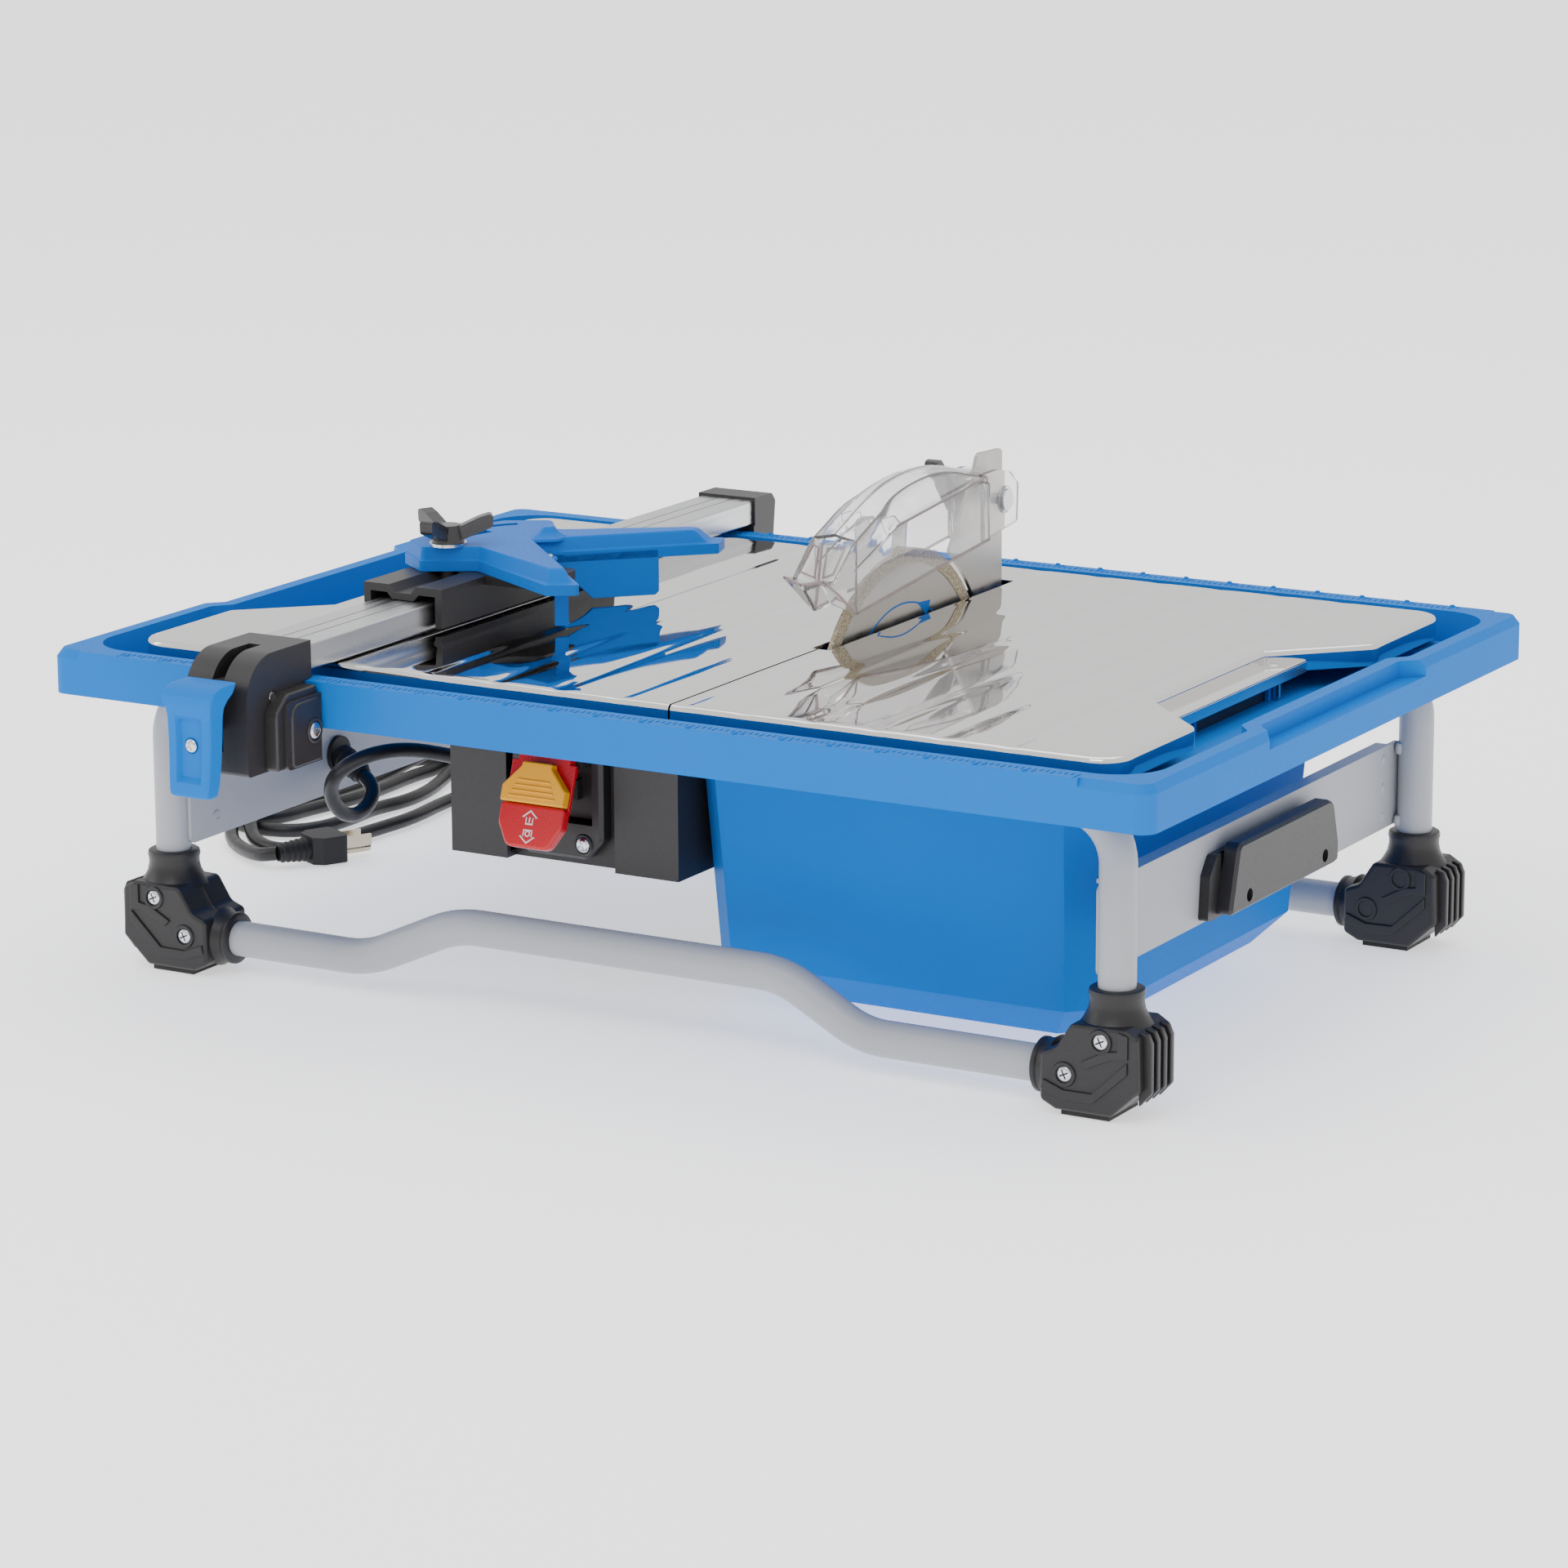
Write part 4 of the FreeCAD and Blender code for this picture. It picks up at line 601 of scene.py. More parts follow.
g3 = lambda a, b2, c: (BX + a, b2, c)
for sgn, nm in ((-1, "l"), (1, "r")):
    bead("nose_frame_" + nm, [g3(sgn * 2.6, -40.0, 222.4), g3(sgn * 9.2, -34.6, 222.4), g3(sgn * 9.4, -47.2, 211.0), g3(sgn * 2.6, -44.9, 208.2)], 0.75, "edge", "guard", closed=True)
    bead("lower_bead_" + nm, [g3(sgn * 12.1, -28, 188.4), g3(sgn * 12.1, 40, 195.0), g3(sgn * 12.1, 112, 202.0)], 0.9, "edge", "guard")
    bead("lip_bead_" + nm, [g3(0.3 * sgn, -62.6, 207.8), g3(sgn * 11.0, -59.8, 210.2), g3(sgn * 11.9, -45.5, 200.5), g3(sgn * 12.0, -29.5, 188.6)], 0.8, "edge", "guard")
bead("nose_seam", [g3(0, -41.0, 225.0), g3(0, -45.4, 205.2), g3(0, -49.4, 192.8)], 0.8, "edge", "guard")
zcl = lambda y: spline(zc_t, y)
for sgn, nm in ((-1, "l"), (1, "r")):
    hwf = lambda y: 12.5 - 2.6 * smoothstep((y + 4) / 20.0)
    bead("crown_bead_" + nm, [g3(sgn * (hwf(y) - 0.7), y, zcl(y) - 0.75) for y in range(-29, 113, 4)], 0.42, "edge", "guard", 4)
    bead("ledge_bead_" + nm, [g3(sgn * 11.9, y, 226.2 + (y - 16) * 0.098 - 0.5) for y in range(14, 113, 6)] + [g3(sgn * 11.6, 111.8, 202.6)], 0.5, "edge", "guard", 4)
    bead("front_bead_" + nm, [g3(sgn * 12.0, -28.7, 224.8), g3(sgn * 12.0, -28.7, 206), g3(sgn * 12.0, -28.7, 189)], 0.55, "edge", "guard", 4)
    # smaller D panel outline and the short gusset at its front corner
    bead("panel_gusset_" + nm, [g3(sgn * 11.9, 2, 223.6), g3(sgn * 10.3, -3, 234.8 - 3.0), g3(sgn * 10.2, 14, 230.6), g3(sgn * 11.7, 18, 225.6)], 0.32, "edge", "guard", 4)
bead("crown_ridge", [g3(0, y, zcl(y) + 1.5) for y in range(-29, 113, 4)], 0.35, "edge", "guard", 4)
# rear clevis: two ears; the bridge over the front of the knife is switched off
ear = [(107.5, 201.2), (146.2, 205.8, 2), (147.3, 226, 4), (138, 233.6, 3), (124, 236.6, 2), (107.5, 236.6)]
for sgn, nm in ((-1, "l"), (1, "r")):
    a, b2 = sorted((BX + sgn * 8.2, BX + sgn * 10.9))
    c = lathe("c", "x", (131.5, 219.7), [(3.4, a - 2), (3.4, b2 + 2)], "clear", None, 32)
    e = bake(solid("guard_ear_" + nm, "yz", ear, a, b2, "clear", None), c)
    bv = e.modifiers.new("edge", "BEVEL"); bv.width = 0.0006; bv.segments = 2; bv.limit_method = "ANGLE"; bv.angle_limit = math.radians(30)
    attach(e, "guard")
    if sgn > 0:
        lathe("ear_boss", "x", (131.5, 219.7), [(3.4, BX + 10.2), (7.2, BX + 10.2), (7.2, BX + 11.6), (6.6, BX + 12.0), (3.4, BX + 12.0)], "clear", "guard", 36, cap=False)
solid("guard_bridge", "yz", [(106, 233.4), (118, 236.0), (118, 238.0), (106, 237.2)], BX - 10.6, BX + 10.6, "clear", "guard", 0.4) if False else None

# ------------------------------------------------------------------ mitre gauge
arms = [(-200.5, -55), (-181.5, -69.5, 3), (-156.5, -54.5, 4), (-91.4, -91.5, 2), (-77.4, -82.0, 2), (-137.4, -21.9, 3),
        (-71.5, 44.0, 2), (-77, 60.5, 2), (-150, 12, 8), (-160, 34, 3), (-186, 20, 6), (-203.5, -18, 8)]
tops = [(-197.5, -53.8, 0), (-181.3, -67.3, 3), (-156.3, -52.3, 4), (-95.5, -82.0, 2), (-89.5, -78.5, 2), (-145.0, -22, 3),
        (-85.0, 38.5, 2), (-87.0, 46.5, 2), (-149.5, 3.5, 8), (-162.5, 26, 3), (-183.5, 13.5, 6), (-197.5, -19.5, 8)]
ra = rnd([(*p[:2], max(0.8, p[2] if len(p) > 2 else 0.8)) for p in arms], 5)
rt = rnd([(*p[:2], max(0.8, p[2])) for p in tops], 5)
def mixr(t): return [a.lerp(b2, t) for a, b2 in zip(ra, rt)]
rings = [[(p.x, p.y, z) for p in mixr(t)] for t, z in ((0.0, 194.55), (0.0, 199.9), (0.30, 200.15), (0.42, 200.6), (0.78, 205.6), (0.88, 206.6), (1.0, 207.0))]
gauge = loft("gauge_body", rings, "gauge", None)
PVX, PVY = -128.5, -33.5
def arcpoly(r0, r1, a0, a1, n=20):
    q = []
    for k in range(n + 1):
        a = math.radians(a0 + (a1 - a0) * k / n); q.append((PVX + r0 * math.cos(a), PVY + r0 * math.sin(a)))
    for k in range(n + 1):
        a = math.radians(a1 - (a1 - a0) * k / n); q.append((PVX + r1 * math.cos(a), PVY + r1 * math.sin(a)))
    return q
def slab(pts, a, b2):
    return loft("c", [[(*p, a) for p in pts], [(*p, b2) for p in pts]], "gauge", None)
bake(gauge, slab(arcpoly(46.6, 53.2, 158, 211.5), 190, 215), slab(arcpoly(58.5, 63.5, 136, 184), 190, 215),
     lathe("c", "z", (PVX, PVY), [(2.7, 190), (2.7, 215)], "gauge", None, 24))
shade(gauge, 32)
soften(gauge, 0.0007, 2, 32)
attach(gauge, "miter_gauge")
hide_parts("miter_gauge")
# tall rib fin beside the pivot, where the long arm starts, then the pushing plate and the foot
sd = rnd([(-153.5, -13, 2), (-143.5, -25.5, 3), (-132.5, -16, 3), (-131.5, -5, 4), (-145, 5.5, 3)], 5)
ctr = Vector((-140.5, -11.0))
loft("gauge_saddle", [[(ctr.x + (p.x - ctr.x) * t, ctr.y + (p.y - ctr.y) * t, z) for p in sd] for t, z in ((1.06, 205.6), (1.0, 206.8), (0.72, 207.7), (0.50, 209.2), (0.34, 211.2), (0.24, 212.0))], "gauge", "miter_gauge", 0.5, 2, 35)
lathe("pivot_boss", "z", (-128.5, -33.5), [(2.7, 199.6), (6.4, 199.6), (6.0, 200.7), (2.7, 200.7)], "gauge", "miter_gauge", 32, cap=False)
pv = phillips("pivot_screw", "z", (-128.5, -33.5, 200.6), 3.9, 1, "miter_slide", 0.9, 2.0)
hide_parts("gauge_pivot_screw")
lathe("pivot_shank", "z", (-128.5, -33.5), [(0.01, 194.4), (2.45, 194.4), (2.45, 200.7), (0.01, 200.7)], "zinc", "miter_slide", 24)
pw = [(-137.2, -21.7), (-94.0, 21.5), (-96.2, 23.7), (-139.4, -19.5)]
q = [Vector(p) for p in pw]
dirv = (q[1] - q[0]).normalized(); nrm = Vector((-dirv.y, dirv.x))
Lw = (q[1] - q[0]).length
prof = [(1.0, 199.0), (0.24 * Lw, 199.0), (Lw, 199.0), (Lw, 176.6), (Lw - 2.0, 174.7), (0.42 * Lw, 174.7), (0.05 * Lw, 196.5)]
a_r = [(q[0].x + dirv.x * u, q[0].y + dirv.y * u, z) for u, z in prof]
b_r = [(q[0].x + dirv.x * u + nrm.x * 3.1, q[0].y + dirv.y * u + nrm.y * 3.1, z) for u, z in prof]
loft("gauge_push_plate", [a_r, b_r], "gauge", "miter_gauge", 0.5)
loft("gauge_foot", [[(-99.5, -71.2, z), (-92.8, -68.4, z), (-95.5, -64.8, z), (-100.5, -66.4, z)] for z in (174.8, 198.0)], "gauge", "miter_gauge", 0.4)

# ------------------------------------------------------------------ fence lock lever
RX = -169.5
st = [(177.9, -269.5, -268.0, 13.6, 0), (178.0, -276, -268.6, 14.0, 0), (177.6, -283.0, -269.5, 14.6, 0), (176.2, -287.2, -270.5, 14.9, 0), (173.6, -289.6, -272.5, 15.0, 0), (170.6, -290.2, -276.5, 14.6, 0),
      (167.2, -289.2, -277.8, 13.5, 0), (163.8, -288.6, -278.2, 13.1, 0), (161.4, -288.4, -278.4, 13.0, 1), (152.0, -288.2, -278.8, 12.8, 1), (141.0, -288.7, -279.3, 12.4, 1), (133.6, -289.3, -280.2, 12.1, 1),
      (131.0, -289.5, -280.6, 12.0, 0), (126.8, -290.0, -281.4, 11.7, 0), (124.6, -289.6, -281.8, 11.2, 0), (123.7, -288.2, -282.4, 10.4, 0)]
rings = []
for z, yf, yb, hw, pn in st:
    d = 2.3 if pn else 0.0
    w1, w2 = hw * 0.60, hw * 0.46
    fx = [(-hw, yb), (-hw, yf + 1.6), (-hw + 0.5, yf + 0.5), (-hw + 1.5, yf), (-w1, yf), (-w2, yf + d), (w2, yf + d), (w1, yf), (hw - 1.5, yf), (hw - 0.5, yf + 0.5), (hw, yf + 1.6), (hw, yb)]
    rings.append([(RX + a, y, z) for a, y in fx])
lever = loft("lever_shell", rings, "blue", None, smooth=28)
c1 = lathe("c", "y", (RX, 149.0), [(3.9, -292), (3.9, -285.6)], "blue", None, 28)
bake(lever, c1)
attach(lever, "lock_lever"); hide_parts("lock_lever")
soften(lever, 0.0005, 2, 30)
solid("lever_tongue", "yz", [(-236, 158.5), (-236, 173.5, 3), (-250, 176.5), (-270, 177), (-279, 172), (-279, 156), (-262, 152, 4), (-243.5, 156)], RX - 3.1, RX + 3.1, "black", "lock_lever", 0.6)
phillips("lever_screw", "y", (RX, -286.2, 149.0), 3.3, -1, "lock_lever", 0.8, 1.5)
lathe("lever_pin", "x", (-243.5, 166.5), [(0.01, RX - 17.4), (2.4, RX - 17.4), (3.0, RX - 16.8), (3.0, RX + 17.2), (2.4, RX + 17.8), (0.01, RX + 17.8)], "zinc", "lock_lever", 28)
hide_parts("lever_pins")

# fence lock housing: raised side boxes, ring and cross screws
for sgn, nm in ((-1, "l"), (1, "r")):
    a, b2 = sorted((RX + sgn * 17.4, RX + sgn * 25.6)); c, d = sorted((RX + sgn * 25.0, RX + sgn * 28.4))
    solid("housing_step_%s" % nm, "yz", [(-251.5, 131.2, 2), (-217.0, 131.2), (-217.0, 168.4, 2), (-242, 168.4, 7), (-251.5, 160, 6)], a, b2, "black", "fence", 1.3, 3)
    solid("housing_box_%s" % nm, "yz", [(-242.5, 131.4, 3), (-217.2, 131.4, 2), (-217.2, 163.2, 3), (-242.5, 163.2, 7)], c, d, "black", "fence", 1.4, 3)
    x0 = RX + sgn * 28.2
    lathe("screw_ring_%s" % nm, "x", (-224.2, 147.2), [(4.6, x0), (6.3, x0), (6.3, x0 + sgn * 0.6), (5.6, x0 + sgn * 1.1), (4.9, x0 + sgn * 0.9), (4.6, x0)], "black", "fence", 36, cap=False)
    sc = phillips("fence_screw_%s" % nm, "x", (x0 - sgn * 0.2, -224.2, 147.2), 4.1, sgn, "fence", 1.0, 1.9)
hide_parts("fence_screws")

# ------------------------------------------------------------------ switch paddle and key
th = math.radians(-19.0)
def tilt(p):
    y, z = p[1] + 137.5, p[2] - 128.0
    return (p[0], -137.5 + y * math.cos(th) - z * math.sin(th), 128.0 + y * math.sin(th) + z * math.cos(th))
def tsolid(name, pts, y0, y1, key, body, bev, seg=3, own=None):
    q = rnd(pts, 5)
    return loft(name, [[tilt((p.x, y0, p.y)) for p in q], [tilt((p.x, y1, p.y)) for p in q]], key, body, bev, seg)
SX = -59.5
pdl = tsolid("paddle_face", [(SX - 18.5, 100.0), (SX + 18.5, 100.0), (SX + 18.5, 90, 7), (SX + 12, 78.5, 5), (SX - 12, 78.5, 5), (SX - 18.5, 90, 7)], -141.5, -148.5, "red", "switch_paddle", 1.6, 4)
tsolid("paddle_back", [(SX - 18.4, 122), (SX + 18.4, 122), (SX + 18.4, 98), (SX - 18.4, 98)], -141.5, -143.8, "red", "switch_paddle", 0.5, 2)
tsolid("paddle_neck", [(SX - 15, 116), (SX + 15, 116), (SX + 15, 130, 3), (SX - 15, 130, 3)], -134.6, -143.9, "red", "switch_paddle", 0.8, 2)
loft("paddle_hinge", [[(x, -137.5 + 2 * math.cos(2 * math.pi * k / 20), 128 + 2 * math.sin(2 * math.pi * k / 20)) for k in range(20)] for x in (-77.9, -41.1)], "red", "switch_paddle")
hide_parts("switch_paddle")
ky = tsolid("key_face", [(SX - 18.2, 100.4), (SX + 18.2, 100.4), (SX + 18.2, 108.4, 1.5), (SX + 8.8, 118.6, 2), (SX + 8.4, 121.0, 1), (SX - 8.4, 121.0, 1), (SX - 8.8, 118.6, 2), (SX - 18.2, 108.4, 1.5)], -144.1, -150.2, "yellow", "safety_key", 1.2, 3)
for i in range(4):
    z = 103.0 + i * 2.7
    tsolid("key_rib_%d" % i, [(SX - 13.5 + i * 1.4, z), (SX + 13.5 - i * 1.4, z), (SX + 13.5 - i * 1.4, z + 1.0), (SX - 13.5 + i * 1.4, z + 1.0)], -150.0, -150.7, "yellow", "safety_key", 0.3, 2)
tsolid("key_stem", [(SX - 5.8, 104.2), (SX + 5.8, 104.2), (SX + 5.8, 112.8), (SX - 5.8, 112.8)], -141.6, -145.0, "yellow", "safety_key", 0.2, 1)
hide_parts("safety_key")
# printed symbols: hollow up arrow with a bar, hollow down arrow with a ring
def decal(name, loops, key, body, y=-148.52, h=0.16):
    for i, (outer, inn) in enumerate(loops):
        nq = len(outer)
        f_ = [tilt((SX + a, y, b2)) for a, b2 in outer] + [tilt((SX + a, y, b2)) for a, b2 in inn] + [tilt((SX + a, y - h, b2)) for a, b2 in outer] + [tilt((SX + a, y - h, b2)) for a, b2 in inn]
        fc = []
        for j in range(nq):
            k2 = (j + 1) % nq
            fc += [(j, k2, nq + k2, nq + j), (2 * nq + j, 3 * nq + j, 3 * nq + k2, 2 * nq + k2), (j, 2 * nq + j, 2 * nq + k2, k2), (nq + j, nq + k2, 3 * nq + k2, 3 * nq + j)]
        mesh(name + str(i), f_, fc, key, body)
def hollow(pts, s, c):
    return [(c[0] + (a - c[0]) * s, c[1] + (b2 - c[1]) * s) for a, b2 in pts]
up = [(0, 97.4), (4.6, 93.6), (2.1, 93.6), (2.1, 90.0), (-2.1, 90.0), (-2.1, 93.6), (-4.6, 93.6)]
dn = [(0, 80.6), (4.6, 84.2), (2.6, 84.2), (2.6, 87.6), (-2.6, 87.6), (-2.6, 84.2), (-4.6, 84.2)]
decal("mark_up", [(up, hollow(up, 0.78, (0, 93.4)))], "white", "switch_paddle")
decal("mark_down", [(dn, hollow(dn, 0.80, (0, 84.6)))], "white", "switch_paddle")
circ = [(1.5 * math.cos(2 * math.pi * k / 20), 85.6 + 1.6 * math.sin(2 * math.pi * k / 20)) for k in range(20)]
decal("mark_off", [(circ, hollow(circ, 0.62, (0, 85.6)))], "white", "switch_paddle")
tsolid("mark_on", [(SX - 0.35, 91.2), (SX + 0.35, 91.2), (SX + 0.35, 93.8), (SX - 0.35, 93.8)], -148.5, -148.66, "white", "switch_paddle", 0)

# ------------------------------------------------------------------ feet: collars, chevrons, side fins, cross screws
for fx, sx in (("left", -1), ("right", 1)):
    for fy, sy in (("front", -1), ("rear", 1)):
        c, yq = sx * 268.2, sy * 169.95
        nm = fx[0] + fy[0]
        lathe("foot_collar_" + nm, "z", (c, yq), [(9.2, 60.6), (12.0, 60.6), (13.0, 60.0), (13.4, 58.2), (13.0, 56.6), (12.8, 54.0), (13.6, 50.0), (15.6, 46.0), (17.6, 43.2), (9.2, 40.0)], "foot", "base", 56, cap=False)
        lathe("foot_sleeve_" + nm, "x", (yq, 18.0), [(9.2, c - sx * 39.3), (12.2, c - sx * 39.3), (13.2, c - sx * 38.5), (13.3, c - sx * 36.8), (12.7, c - sx * 36.0), (13.3, c - sx * 32.8), (15.0, c - sx * 29.8), (9.2, c - sx * 26.0)], "foot", "base", 56, cap=False)
        shell = [(-15.0, 45.2, 4), (13.0, 45.6, 2), (19.6, 41.6, 2), (20.4, 16.5, 3), (5.5, 2.6, 3), (-23, 2.6, 2), (-31, 6.5, 3), (-31, 29.5, 3), (-23.0, 32.5, 6)]
        pts_ = [(c + sx * q_[0],) + tuple(q_[1:]) for q_ in shell]
        if sx < 0: pts_ = pts_[::-1]
        for half, hs in (("inner", -sy), ("outer", sy)):
            hf = solid("foot_half_%s_%s" % (nm, half), "xz", pts_, yq + hs * 0.12, yq + hs * 18.05, "foot", "base", 2.2, 4, 6, 28)
            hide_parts("foot_%s_%s_%s" % (fx, fy, half))
        # raised chevron on both broad faces
        for hs in (-1, 1):
            y0 = yq + hs * 17.9
            v1 = [(c + sx * a, z) for a, z in ((-30, 12.5), (-18, 8.5), (-3, 8.5), (14.5, 24.5), (14.5, 30.5), (-3.5, 13.2), (-18, 13.0), (-29, 17.0))]
            v2 = [(c + sx * a, z) for a, z in ((-9.5, 27.5), (-6.5, 24.5), (7, 31.0), (14.8, 31.5), (14.8, 43.0), (9.5, 44.5), (9.5, 35.2), (2.5, 34.0))]
            for i, v in enumerate((v1, v2)):
                if sx < 0: v = v[::-1]
                loft("foot_rib_%s%d%d" % (nm, hs, i), [[(a, y0, z) for a, z in v], [(a, y0 + hs * 1.3, z) for a, z in v]], "foot", "base", 0.5)
            for u, z in ((0.5, 38.3), (-18.0, 20.4)):
                lathe("foot_boss_%s%d%d" % (nm, hs, int(z)), "y", (c + sx * u, z), [(4.2, yq + hs * 17.6), (6.4, yq + hs * 17.6), (5.8, yq + hs * 18.9), (4.4, yq + hs * 18.9), (4.2, yq + hs * 18.4)], "foot", "base", 32, cap=False)
        # outboard fins
        for i in range(4):
            y1 = yq - 12.3 + i * 7.0
            pf = [(c + sx * 17.5, 8.0), (c + sx * 20.6, 11.5), (c + sx * 23.8, 15.0), (c + sx * 23.8, 38.5), (c + sx * 21.8, 43.0), (c + sx * 17.5, 44.5)]
            if sx < 0: pf = pf[::-1]
            loft("foot_fin_%s%d" % (nm, i), [[(a, y1, z) for a, z in pf], [(a, y1 + 3.6, z) for a, z in pf]], "foot", "base", 0.7)
        for u, z in ((0.5, 38.3), (-18.0, 20.4)):
            sc = phillips("foot_screw_%s%d" % (nm, int(z)), "y", (c + sx * u, yq + sy * 16.7, z), 3.9, sy, "base", 0.9, 2.1)
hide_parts("frame_screws")
for x, z in ((-44.5, 81.5), (-77.0, 81.5)):
    phillips("switch_screw_%d" % int(-x), "y", (x, -133.9, z), 3.8, -1, "base", 0.9, 1.9)
    lathe("switch_screw_well_%d" % int(-x), "y", (x, z), [(4.2, -133.6), (5.6, -133.6), (5.0, -134.8), (4.4, -134.8)], "black", "base", 32, cap=False)
for y, z in ((-36.5, 74), (50.6, 74)):
    phillips("grip_screw_%d" % int(y), "x", (266.1, y, z), 2.8, 1, "base", 0.8, 2.0)
lathe("bracket_screw", "z", (241.5, 53.5), [(0.01, 153.4), (3.5, 153.4), (3.7, 155.9), (2.0, 155.9), (2.0, 162.8), (0.01, 162.8)], "zinc", "base", 28)
lathe("bracket_screw_top", "z", (241.5, 53.5), [(0.01, 167.4), (2.2, 167.3), (3.3, 166.7), (3.6, 165.1), (0.01, 165.1)], "zinc", "base", 28)

# ------------------------------------------------------------------ side plates: spot welds near the posts, small rivet marks
for sx, xw in ((1, 259.0), (-1, -259.0)):
    for yv in (-150, 150):
        for zv in (70.5, 85.5, 100.5):
            lathe("weld_%d_%d_%d" % (sx, yv, int(zv)), "x", (yv, zv), [(2.6, xw), (2.4, xw + sx * 0.35), (1.6, xw + sx * 0.62), (0.01, xw + sx * 0.68)], "paint", "base", 20)
    for yv in (-166, 166):
        for zv in (66, 104):
            a = sx * 264.5
            lathe("bead_%d_%d_%d" % (sx, yv, zv), "z", (sx * 261.8, yv * 0.985), [(0.01, zv - 3.4), (1.8, zv - 2.6), (2.4, zv), (1.8, zv + 2.6), (0.01, zv + 3.4)], "paint", "base", 16)

for yv, zv in ((-148.0, 74.0), (150.0, 74.0)):
    lathe("plate_rivet_%d" % int(yv), "x", (yv, zv), [(3.0, -257.0), (2.8, -256.4), (2.0, -256.2), (1.8, -256.6), (0.01, -256.6)], "paint", "base", 24)

# ------------------------------------------------------------------ pan: rules on both long rims, printed blade ring
HW, HD = 306.8, 216.1
def boxes(name, items, key, body="base"):
    verts, faces = [], []
    for x0, x1, y0, y1, z0, z1 in items:
        b0 = len(verts)
        verts += [(x, y, z) for z in (z0, z1) for x, y in ((x0, y0), (x1, y0), (x1, y1), (x0, y1))]
        faces += [tuple(b0 + w for w in q) for q in ((0, 3, 2, 1), (4, 5, 6, 7), (0, 1, 5, 4), (1, 2, 6, 5), (2, 3, 7, 6), (3, 0, 4, 7))]
    me = bpy.data.meshes.new(name); me.from_pydata([tuple(P(*v)) for v in verts], [], faces)
    o = bpy.data.objects.new(name, me); bpy.context.collection.objects.link(o)
    me.materials.append(M[key]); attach(o, body)
    return o


ZR = 169.3
tick = []
x = 39.0 - 12 * 25.4
i = 0
while x < 268:
    L = 7.4 if i % 8 == 0 else 4.6 if i % 4 == 0 else 2.8
    if -284 < x:
        if -288 < x < 268:
            tick.append((x - 0.28, x + 0.28, -HD + 7.7 - L, -HD + 7.9, ZR - 0.1, ZR + 0.32))
    if -176 < x < 286:
        tick.append((x - 0.28, x + 0.28, HD - 7.9, HD - 7.7 + L, ZR - 0.1, ZR + 0.32))
    x += 25.4 / 8; i += 1
boxes("rule_ticks", tick, "blue")
dm = []
for k in range(-12, 10):
    xc = 39.0 + 25.4 * k
    for side, lo, hi in ((-1, -286, 266), (1, -176, 286)):
        if lo < xc < hi:
            yc = side * (HD - 1.9)
            for dx, dy in ((0, 0),):
                q = [(xc - 1.9, yc), (xc, yc - 1.5 * 1), (xc + 1.9, yc), (xc, yc + 1.5)]
                hgt = 0.34 if side < 0 and xc < -78 else 1.0
                dm.append(loft("rule_diamond_%d_%d" % (side, k), [[(*p, ZR - 0.1) for p in q], [(xc + (p[0] - xc) * 0.6, yc + (p[1] - yc) * 0.6, ZR + hgt) for p in q]], "blue", "base"))
def digits(name, text, at, size, rot, key, body="base", h=0.3):
    cu = bpy.data.curves.new(name, "FONT"); cu.body = text; cu.size = size / 1000.0; cu.extrude = h / 2000.0
    cu.align_x = "CENTER"; cu.align_y = "CENTER"; cu.resolution_u = 2
    t = bpy.data.objects.new(name + "_c", cu); bpy.context.collection.objects.link(t)
    dg = bpy.context.evaluated_depsgraph_get(); dg.update()
    me = bpy.data.meshes.new_from_object(t.evaluated_get(dg))
    bpy.data.objects.remove(t)
    R = Matrix.Rotation(rot, 4, "Z")
    for v in me.vertices:
        v.co = R @ v.co + P(*at)
    o = bpy.data.objects.new(name, me); bpy.context.collection.objects.link(o)
    me.materials.clear(); me.materials.append(M[key]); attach(o, body)
    return o


for k in range(-12, 10):
    xc = 39.0 + 25.4 * k
    if -280 < xc < 262:
        digits("rule_no_f%d" % k, str(abs(k)), (xc + 3.6, -HD + 3.4, ZR + 0.1), 4.2, 0, "blue")
    if -170 < xc < 280:
        digits("rule_no_b%d" % k, str(abs(k)), (xc + 3.6, HD - 3.6, ZR + 0.1), 4.2, 0, "blue")

# blue ring and direction arrow printed on both faces of the blade
for sgn, nm in ((-1, "l"), (1, "r")):
    xf = BX + sgn * 0.9
    v, fcs, N = [], [], 120
    for k in range(N):
        a = 2 * math.pi * k / N
        for r in (60.6, 61.5):
            v.append((xf + sgn * 0.02, BY + r * math.cos(a), BZ + r * math.sin(a)))
            v.append((xf + sgn * 0.06, BY + r * math.cos(a), BZ + r * math.sin(a)))
    for k in range(N):
        a, b2 = 4 * k, 4 * ((k + 1) % N)
        fcs += [(a + 1, b2 + 1, b2 + 3, a + 3), (a, a + 2, b2 + 2, b2), (a, b2, b2 + 1, a + 1), (a + 2, a + 3, b2 + 3, b2 + 2)]
    mesh("blade_ring_" + nm, v, fcs, "gauge", "blade")
    for a0 in (62, 182, 302):
        q = []
        for r, da in ((56.5, 0), (65.5, 0), (61.0, 12)):
            a = math.radians(a0 + da); q.append((BY + r * math.cos(a), BZ + r * math.sin(a)))
        loft("blade_arrow_%s%d" % (nm, a0), [[(xf + sgn * 0.02, *p) for p in q], [(xf + sgn * 0.08, *p) for p in q]], "gauge", "blade")

